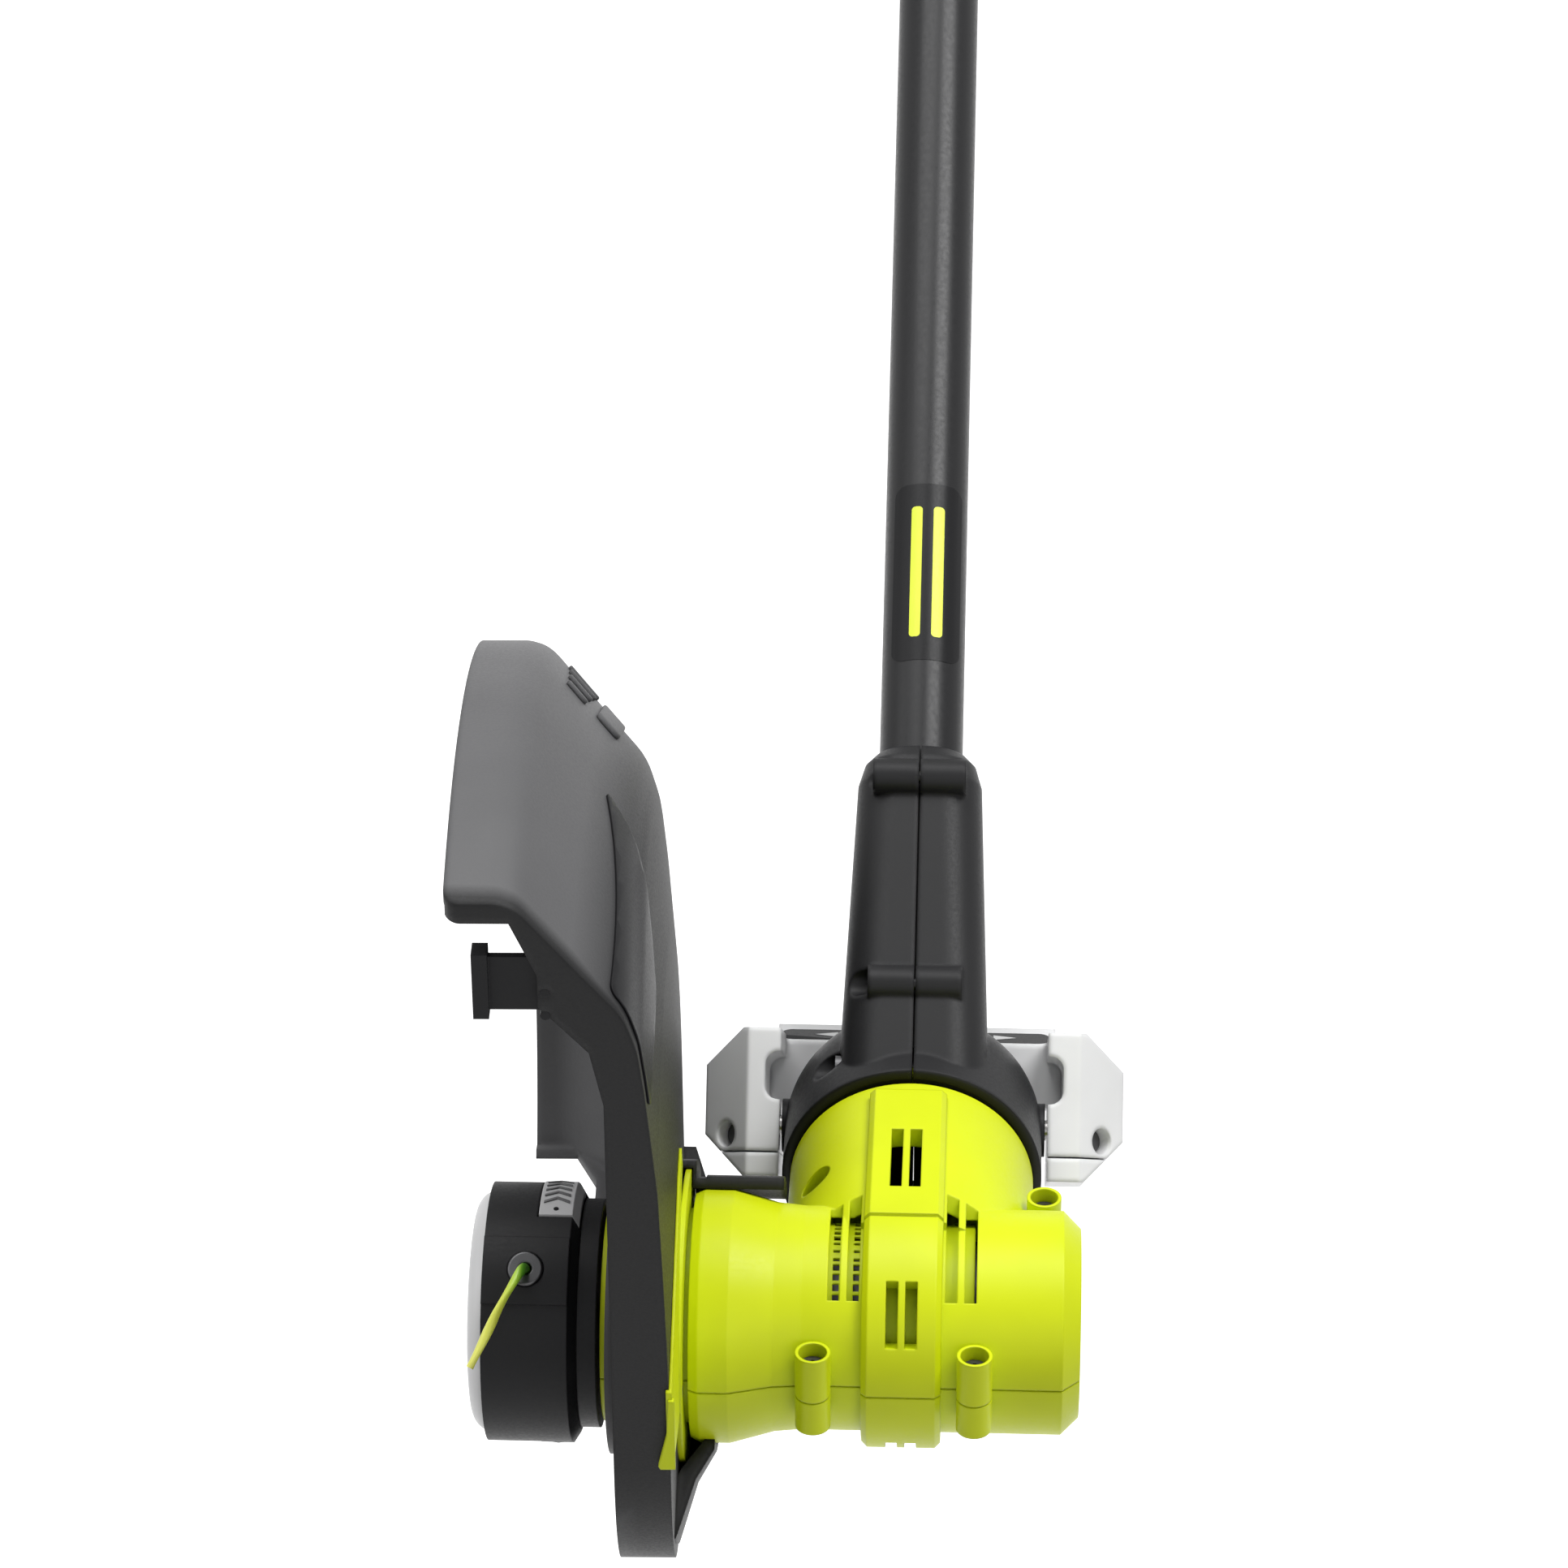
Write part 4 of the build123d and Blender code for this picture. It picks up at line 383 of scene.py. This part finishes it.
# The shaft's plain label
TWIST_X = 123.0
SHAFT_RISE = math.radians(36.0)
SHAFT_FOOT = 62.0
SHAFT_OUT = Vector((0, -math.sin(SHAFT_RISE), math.cos(SHAFT_RISE)))
SHAFT_UP = Vector((0, math.cos(SHAFT_RISE), math.sin(SHAFT_RISE)))
SIDEWAYS = Vector((1, 0, 0))


def on_shaft(across, out, along):
    return Vector((TWIST_X + across, SHAFT_FOOT, 0)) + SHAFT_OUT * out + SHAFT_UP * along


LABEL_SHIFT = 0.6
LABEL_ALONG = 196
LABEL_START = 30
LABEL_SKIN = 0.12
MARK_SKIN = 0.06


def shaft_label():
    label = flat_plate("shaft_label", 20.6, 59.5, 3.5, (18, 4))
    place = on_shaft(LABEL_SHIFT, LABEL_START, LABEL_ALONG)
    lay(label, "lower_tube", place, SHAFT_OUT, SIDEWAYS, LABEL_SKIN, print_black, "lower")
    for side in (-3.4, 3.4):
        bar = flat_plate("shaft_label_bar", 3.4, 44, 1.2, (6, 2))
        place = on_shaft(LABEL_SHIFT + side, LABEL_START, LABEL_ALONG)
        lay(bar, label, place, SHAFT_OUT, SIDEWAYS, MARK_SKIN, print_lime, "lower")


shaft_label()

# The pedal's label with plain arrows
PEDAL_SLOPE = Vector((0, 0.188, 0.982))
PEDAL_LABEL = Vector((122.6, 145.3, 20.0))


def pedal_label():
    label = flat_plate("pedal_label", 83, 7.4, 3.6, (4, 2))
    place = PEDAL_LABEL
    lay(label, "pedal_shell", place, PEDAL_SLOPE, SIDEWAYS, LABEL_SKIN, print_grey, "pedal")
    for side in (-1, 1):
        head = arrow_head("pedal_arrow", 7.0, 3.4)
        place = PEDAL_LABEL + SIDEWAYS * side * 27.5
        lay(head, label, place, PEDAL_SLOPE, SIDEWAYS * side, MARK_SKIN, print_white, "pedal")
        for row in (-1.7, 0, 1.7):
            dash = flat_plate("pedal_dash", 8.0, 0.7, 0.3)
            place = PEDAL_LABEL + SIDEWAYS * side * (18.2 - abs(row)) + Vector((0, row, 0))
            lay(dash, label, place, PEDAL_SLOPE, SIDEWAYS, MARK_SKIN, print_white, "pedal")


pedal_label()

# Marks on the spool's two latches: raised chevrons whose deeper grey is painted shade, and a dot
LATCH_TURN = math.radians(13.0)
LATCH_MIDDLE = 23.9
LATCH_START = 45


def latch_marks():
    for body, node, turn in (
        ("latch_upper", "drum_latch_upper", LATCH_TURN),
        ("latch_lower", "drum_latch_lower", LATCH_TURN + math.pi),
    ):
        out = Vector((0, math.sin(turn), math.cos(turn)))
        round_way = Vector((0, math.cos(turn), -math.sin(turn)))
        for step in (-6.6, -3.0, 0.6, 4.2, 7.8):
            mark = chevron("latch_chevron", 7.4, 1.15, 2.2)
            place = SIDEWAYS * LATCH_MIDDLE + out * LATCH_START + round_way * step
            lay(mark, node, place, out, SIDEWAYS, 0.45, chevron_shade_grey, body, 0.15)
        dot = round_dot("latch_dot", 0.75)
        place = SIDEWAYS * LATCH_MIDDLE + out * LATCH_START + round_way * -9.6
        lay(dot, node, place, out, SIDEWAYS, 0.1, print_black, body)


latch_marks()

# The guard's plain panel, ribs and slide tab
GUARD_OUT = Vector((0.757, 0.274, 0.594))
GUARD_ROUND = Vector((0, -0.908, 0.419))
GUARD_DOWN = Vector((0.654, -0.317, -0.687))
GUARD_PATCH = Vector((29.5, 75.8, 164.1))


def guard_marks():
    far = GUARD_PATCH + GUARD_OUT * 20
    for step in (-15, -5, 5, 15):
        rib = flat_plate("guard_rib", 2.2, 12.5 - abs(step + 15) * 0.15, 0.8, (2, 6))
        place = far + GUARD_ROUND * step
        lay(rib, "guard", place, GUARD_OUT, GUARD_ROUND, 1.3, guard_grain_painted_shade, "head", 0.4)
    tab = flat_plate("guard_slide_tab", 30, 9, 2.0, (8, 6))
    place = far + GUARD_DOWN * 13
    lay(tab, "guard", place, GUARD_OUT, GUARD_ROUND, 1.4, guard_grain_painted_shade, "head", 0.5)


guard_marks()

PANEL_OUT = Vector((0.8, -0.08, 0.6))
PANEL_PLACE = Vector((47.0, -28.0, 145.0))
PANEL_CORNERS = ((39.6, 12.0, 167.9), (42.7, -61.5, 150.0), (55.0, -61.5, 114.5), (55.0, -22.0, 126.0))


def guard_panel():
    across = Vector((0, 1, 0))
    across = (across - PANEL_OUT.normalized() * PANEL_OUT.normalized().dot(across)).normalized()
    upward = PANEL_OUT.normalized().cross(across)
    piece = flat_plate("guard_panel", 10, 10, 0, (1, 1))
    sides = ((1, 1), (-1, 1), (-1, -1), (1, -1))
    for corner, (right, high) in zip(PANEL_CORNERS, sides):
        offset = Vector(corner) - PANEL_PLACE
        place = Vector((offset.dot(across), offset.dot(upward), 0))
        start = Vector((right * 5, high * 5, 0))
        pull(piece, lambda co: (co - start * MM).length < 0.0005, place - start)
    bpy.ops.object.mode_set(mode="EDIT")
    bpy.ops.mesh.select_all(action="SELECT")
    bpy.ops.mesh.bevel(offset=2.5 * MM, segments=4, affect="VERTICES")
    cut_across(90 * MM, 70 * MM, (30, 24))
    bpy.ops.object.mode_set(mode="OBJECT")
    place = PANEL_PLACE + PANEL_OUT.normalized() * 30
    return lay(piece, "guard", place, PANEL_OUT, across, 0.7, print_black, "head", 0.25)


guard_panel()

# Soft pads on the rear grip
PAD_MIDDLE = 984.0
PAD_OUT = 3.0
PAD_START = 60
PAD_RIB_STEP = 8


def grip_pads():
    for node, side in (("rear_handle_left", -1), ("rear_handle_right", 1)):
        facing = SIDEWAYS * side
        pad = flat_plate("grip_pad", 22, 100, 9, (4, 8))
        place = on_shaft(side * PAD_START, PAD_OUT, PAD_MIDDLE)
        lay(pad, node, place, facing, SHAFT_OUT, 0.8, grip_rubber, "handle", 0.3)
        for step in range(-5, 6):
            rib = flat_plate("grip_rib", 15, 3.2, 1.4)
            place = on_shaft(side * PAD_START, PAD_OUT, PAD_MIDDLE + step * PAD_RIB_STEP)
            lay(rib, pad, place, facing, SHAFT_OUT, 0.7, grip_rubber, "handle", 0.3)


grip_pads()


# The battery's charge lamps and plain side plates
GAUGE_OUT = -8
GAUGE_START = 1200
PLATE_OUT = 17
PLATE_ALONG = 1125
PLATE_START = 80


def battery_marks():
    gauge = flat_plate("charge_gauge", 46, 13, 5)
    place = on_shaft(0, GAUGE_OUT, GAUGE_START)
    lay(gauge, "battery_lid", place, SHAFT_UP, SIDEWAYS, 0.5, print_black, "battery", 0.2)
    for step in (-15, -6, 3):
        lens = flat_plate("charge_lamp", 6, 3, 1)
        place = on_shaft(step, GAUGE_OUT, GAUGE_START)
        lay(lens, gauge, place, SHAFT_UP, SIDEWAYS, 0.3, print_lime, "battery", 0.1)
    button = round_dot("charge_button", 3.4)
    place = on_shaft(14, GAUGE_OUT, GAUGE_START)
    lay(button, gauge, place, SHAFT_UP, SIDEWAYS, 0.8, ash_shell, "battery", 0.2)
    for side in (-1, 1):
        plate = flat_plate("battery_plate", 16, 34, 4)
        place = on_shaft(side * PLATE_START, PLATE_OUT, PLATE_ALONG)
        facing = SIDEWAYS * side
        lay(plate, "battery_body", place, facing, SHAFT_OUT, 0.5, print_grey, "battery", 0.2)


battery_marks()

# Slotted liners behind the motor's cooling slots
LINER_R = 27.0
LINER_WALL = 0.8
LINER_STEPS = 162


def vent_liner(name, first, last, windows):
    clear_choice()
    middle = (first + last) / 2
    bpy.ops.mesh.primitive_cylinder_add(
        vertices=LINER_STEPS,
        radius=LINER_R * MM,
        depth=(last - first) * MM,
        end_fill_type="NOTHING",
        location=(middle * MM, 0, 0),
        rotation=(0, math.pi / 2, 0),
    )
    piece = bpy.context.object
    piece.name = name
    bpy.ops.object.transform_apply(location=True, rotation=True, scale=True)
    bpy.ops.object.mode_set(mode="EDIT")
    for low, high in windows:
        for x in (low, high):
            bpy.ops.mesh.select_all(action="SELECT")
            bpy.ops.mesh.bisect(plane_co=(x * MM, 0, 0), plane_no=(1, 0, 0))
    bpy.ops.mesh.select_mode(type="FACE")
    bpy.ops.mesh.select_all(action="DESELECT")
    bpy.ops.object.mode_set(mode="OBJECT")
    for face in piece.data.polygons:
        turn = math.atan2(face.center.y, face.center.z) / (2 * math.pi) * LINER_STEPS
        inside = any(low * MM < face.center.x < high * MM for low, high in windows)
        face.select = inside and int(math.floor(turn)) % 3 != 0
    bpy.ops.object.mode_set(mode="EDIT")
    if windows:
        bpy.ops.mesh.delete(type="FACE")
    bpy.ops.mesh.select_all(action="SELECT")
    bpy.ops.mesh.normals_make_consistent(inside=False)
    bpy.ops.object.mode_set(mode="OBJECT")
    wall = piece.modifiers.new("wall", "SOLIDIFY")
    wall.thickness = LINER_WALL * MM
    wall.offset = -1.0
    bpy.ops.object.modifier_apply(modifier="wall")
    bpy.ops.object.shade_smooth_by_angle(angle=math.radians(40))
    piece.data.materials.clear()
    piece.data.materials.append(lime_shell)
    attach(piece, "head")


vent_liner("vent_liner_front", 93.0, 130.0, ((102.4, 104.2), (108.2, 110.0)))
vent_liner("vent_liner_rear", 133.0, 142.4, ())

# The short end of cutting line, a twisted strand on its route
LINE_ROUTE = (
    (16.7, -19.77, 28.76),
    (16.7, -22.9, 33.3),
    (15.6, -28.0, 34.6),
    (10.6, -35.5, 28.6),
    (7.4, -42.0, 23.6),
    (3.0, -48.0, 16.5),
)
LINE_TWIST = 2.4
LINE_WIDE = 1.38
LINE_NARROW = 1.02
LINE_COLOURS = (
    (0.0, (0.95, 0.95, 0.18)),
    (0.6, (0.86, 0.94, 0.1)),
    (0.88, (0.5, 0.8, 0.06)),
    (1.0, (0.1, 0.34, 0.02)),
)


def line_finish():
    finish, tree, shader = new_finish("line_strand")
    coords = tree.nodes.new("ShaderNodeTexCoord")
    split = tree.nodes.new("ShaderNodeSeparateXYZ")
    tree.links.new(coords.outputs["Object"], split.inputs["Vector"])
    reach = tree.nodes.new("ShaderNodeMapRange")
    reach.inputs["From Min"].default_value = 0.003
    reach.inputs["From Max"].default_value = 0.0165
    tree.links.new(split.outputs["X"], reach.inputs["Value"])
    tree.links.new(ramp(tree, reach.outputs["Result"], LINE_COLOURS), shader.inputs["Base Color"])
    shader.inputs["Roughness"].default_value = 0.32
    streak = noise(tree, object_coords(tree), 500.0)
    bump(tree, shader, streak, 0.2, 0.00004)
    return finish


def cutting_line():
    route = bpy.data.curves.new("line_route", "CURVE")
    route.dimensions = "3D"
    route.resolution_u = 24
    strand = route.splines.new("NURBS")
    strand.points.add(len(LINE_ROUTE) - 1)
    for i, (point, place) in enumerate(zip(strand.points, LINE_ROUTE)):
        point.co = (*(Vector(place) * MM), 1)
        point.tilt = LINE_TWIST * math.pi * i / (len(LINE_ROUTE) - 1)
    strand.order_u = 3
    strand.use_endpoint_u = True
    piece = bpy.data.objects.new("cutting_line", route)
    bpy.context.scene.collection.objects.link(piece)
    trail = bpy.data.meshes.new_from_object(piece)
    clear_choice()
    bpy.ops.curve.primitive_nurbs_circle_add(radius=MM)
    section = bpy.context.object
    section.scale = (LINE_WIDE, LINE_NARROW, 1)
    bpy.ops.object.transform_apply(location=False, rotation=False, scale=True)
    route.bevel_mode = "OBJECT"
    route.bevel_object = section
    route.use_fill_caps = True
    clear_choice()
    piece.select_set(True)
    bpy.context.view_layer.objects.active = piece
    bpy.ops.object.convert(target="MESH")
    bpy.data.objects.remove(section)
    bpy.ops.object.mode_set(mode="EDIT")
    bpy.ops.mesh.select_all(action="SELECT")
    bpy.ops.mesh.remove_doubles(threshold=0.000005)
    bpy.ops.mesh.normals_make_consistent(inside=False)
    bpy.ops.object.mode_set(mode="OBJECT")
    bpy.ops.object.shade_smooth_by_angle(angle=math.radians(50))
    piece.data.materials.clear()
    piece.data.materials.append(line_finish())
    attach(piece, "rotor")
    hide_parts("trimmer_line")


cutting_line()


# Camera
def place_camera():
    ahead = Vector(
        (
            -math.sin(CAMERA_SWING) * math.cos(CAMERA_DIP),
            math.cos(CAMERA_SWING) * math.cos(CAMERA_DIP),
            -math.sin(CAMERA_DIP),
        )
    )
    right = Vector((math.cos(CAMERA_SWING), math.sin(CAMERA_SWING), 0))
    up = right.cross(ahead)
    side = right * math.cos(CAMERA_ROLL) + up * math.sin(CAMERA_ROLL)
    top = up * math.cos(CAMERA_ROLL) - right * math.sin(CAMERA_ROLL)
    turn = Matrix((side, top, -ahead)).transposed().to_4x4()
    lens = bpy.data.cameras.new("camera")
    lens.sensor_width = SENSOR
    lens.lens = FOCAL_PIXELS / PICTURE_SIZE * SENSOR
    lens.clip_start = 0.05
    lens.clip_end = 50.0
    camera = bpy.data.objects.new("camera", lens)
    camera.matrix_world = Matrix.Translation(CAMERA_PLACE) @ turn
    bpy.context.scene.collection.objects.link(camera)
    bpy.context.scene.camera = camera


place_camera()


# Studio
FLOOR_DROP = 0.45
FLOOR_SPAN = 30.0
FLOOR_TONE = 0.6
FLOOR_GLOW = 0.8
WORLD_FILL = 0.12
WORLD_SEEN = 1.0


def lamp(name, place, target, size, power):
    light = bpy.data.lights.new(name, "AREA")
    light.shape = "SQUARE"
    light.size = size
    light.energy = power
    item = bpy.data.objects.new(name, light)
    item.location = place
    item.rotation_euler = (Vector(target) - Vector(place)).to_track_quat("-Z", "Y").to_euler()
    bpy.context.scene.collection.objects.link(item)


def seen_rays(tree):
    path = tree.nodes.new("ShaderNodeLightPath")
    seen = path.outputs["Is Camera Ray"]
    for ray in ("Is Glossy Ray", "Is Transmission Ray"):
        either = tree.nodes.new("ShaderNodeMath")
        either.operation = "MAXIMUM"
        tree.links.new(seen, either.inputs[0])
        tree.links.new(path.outputs[ray], either.inputs[1])
        seen = either.outputs["Value"]
    return seen


def build_studio():
    bpy.ops.object.select_all(action="DESELECT")
    bpy.ops.mesh.primitive_plane_add(size=FLOOR_SPAN, location=(0, 0, cad_low.z - FLOOR_DROP))
    floor = bpy.context.object
    floor.name = "floor"
    finish, tree, shader = new_finish("floor_white")
    shader.inputs["Base Color"].default_value = (FLOOR_TONE, FLOOR_TONE, FLOOR_TONE, 1)
    shader.inputs["Roughness"].default_value = 0.9
    glow = tree.nodes.new("ShaderNodeEmission")
    glow.inputs["Strength"].default_value = FLOOR_GLOW
    adder = tree.nodes.new("ShaderNodeAddShader")
    blank = tree.nodes.new("ShaderNodeMixShader")
    tree.links.new(seen_rays(tree), blank.inputs["Fac"])
    tree.links.new(shader.outputs["BSDF"], adder.inputs[0])
    tree.links.new(glow.outputs["Emission"], adder.inputs[1])
    tree.links.new(shader.outputs["BSDF"], blank.inputs[1])
    tree.links.new(adder.outputs["Shader"], blank.inputs[2])
    tree.links.new(blank.outputs["Shader"], tree.nodes["Material Output"].inputs["Surface"])
    floor.data.materials.append(finish)
    world = bpy.data.worlds.new("studio")
    world.use_nodes = True
    bpy.context.scene.world = world
    tree = world.node_tree
    fill = tree.nodes["Background"]
    fill.inputs["Color"].default_value = (1, 1, 1, 1)
    fill.inputs["Strength"].default_value = WORLD_FILL
    wall = tree.nodes.new("ShaderNodeBackground")
    wall.inputs["Color"].default_value = (1, 1, 1, 1)
    wall.inputs["Strength"].default_value = WORLD_SEEN
    choice = tree.nodes.new("ShaderNodeMixShader")
    tree.links.new(seen_rays(tree), choice.inputs["Fac"])
    tree.links.new(fill.outputs["Background"], choice.inputs[1])
    tree.links.new(wall.outputs["Background"], choice.inputs[2])
    tree.links.new(choice.outputs["Shader"], tree.nodes["World Output"].inputs["Surface"])
    lamp("key", (1.2, 0.1, 2.2), (0.12, 0.05, 0.05), 1.2, 47.0)
    lamp("top", (-0.5, 0.5, 2.4), (0.1, 0.1, 0.05), 1.6, 40.0)
    lamp("front", (0.9, -2.0, 0.9), (0.1, 0.05, 0.05), 1.6, 11.0)
    lamp("side", (-1.9, -0.3, 1.3), (0.1, 0.05, 0.05), 1.4, 12.0)


build_studio()
bpy.context.scene.view_settings.view_transform = "Standard"
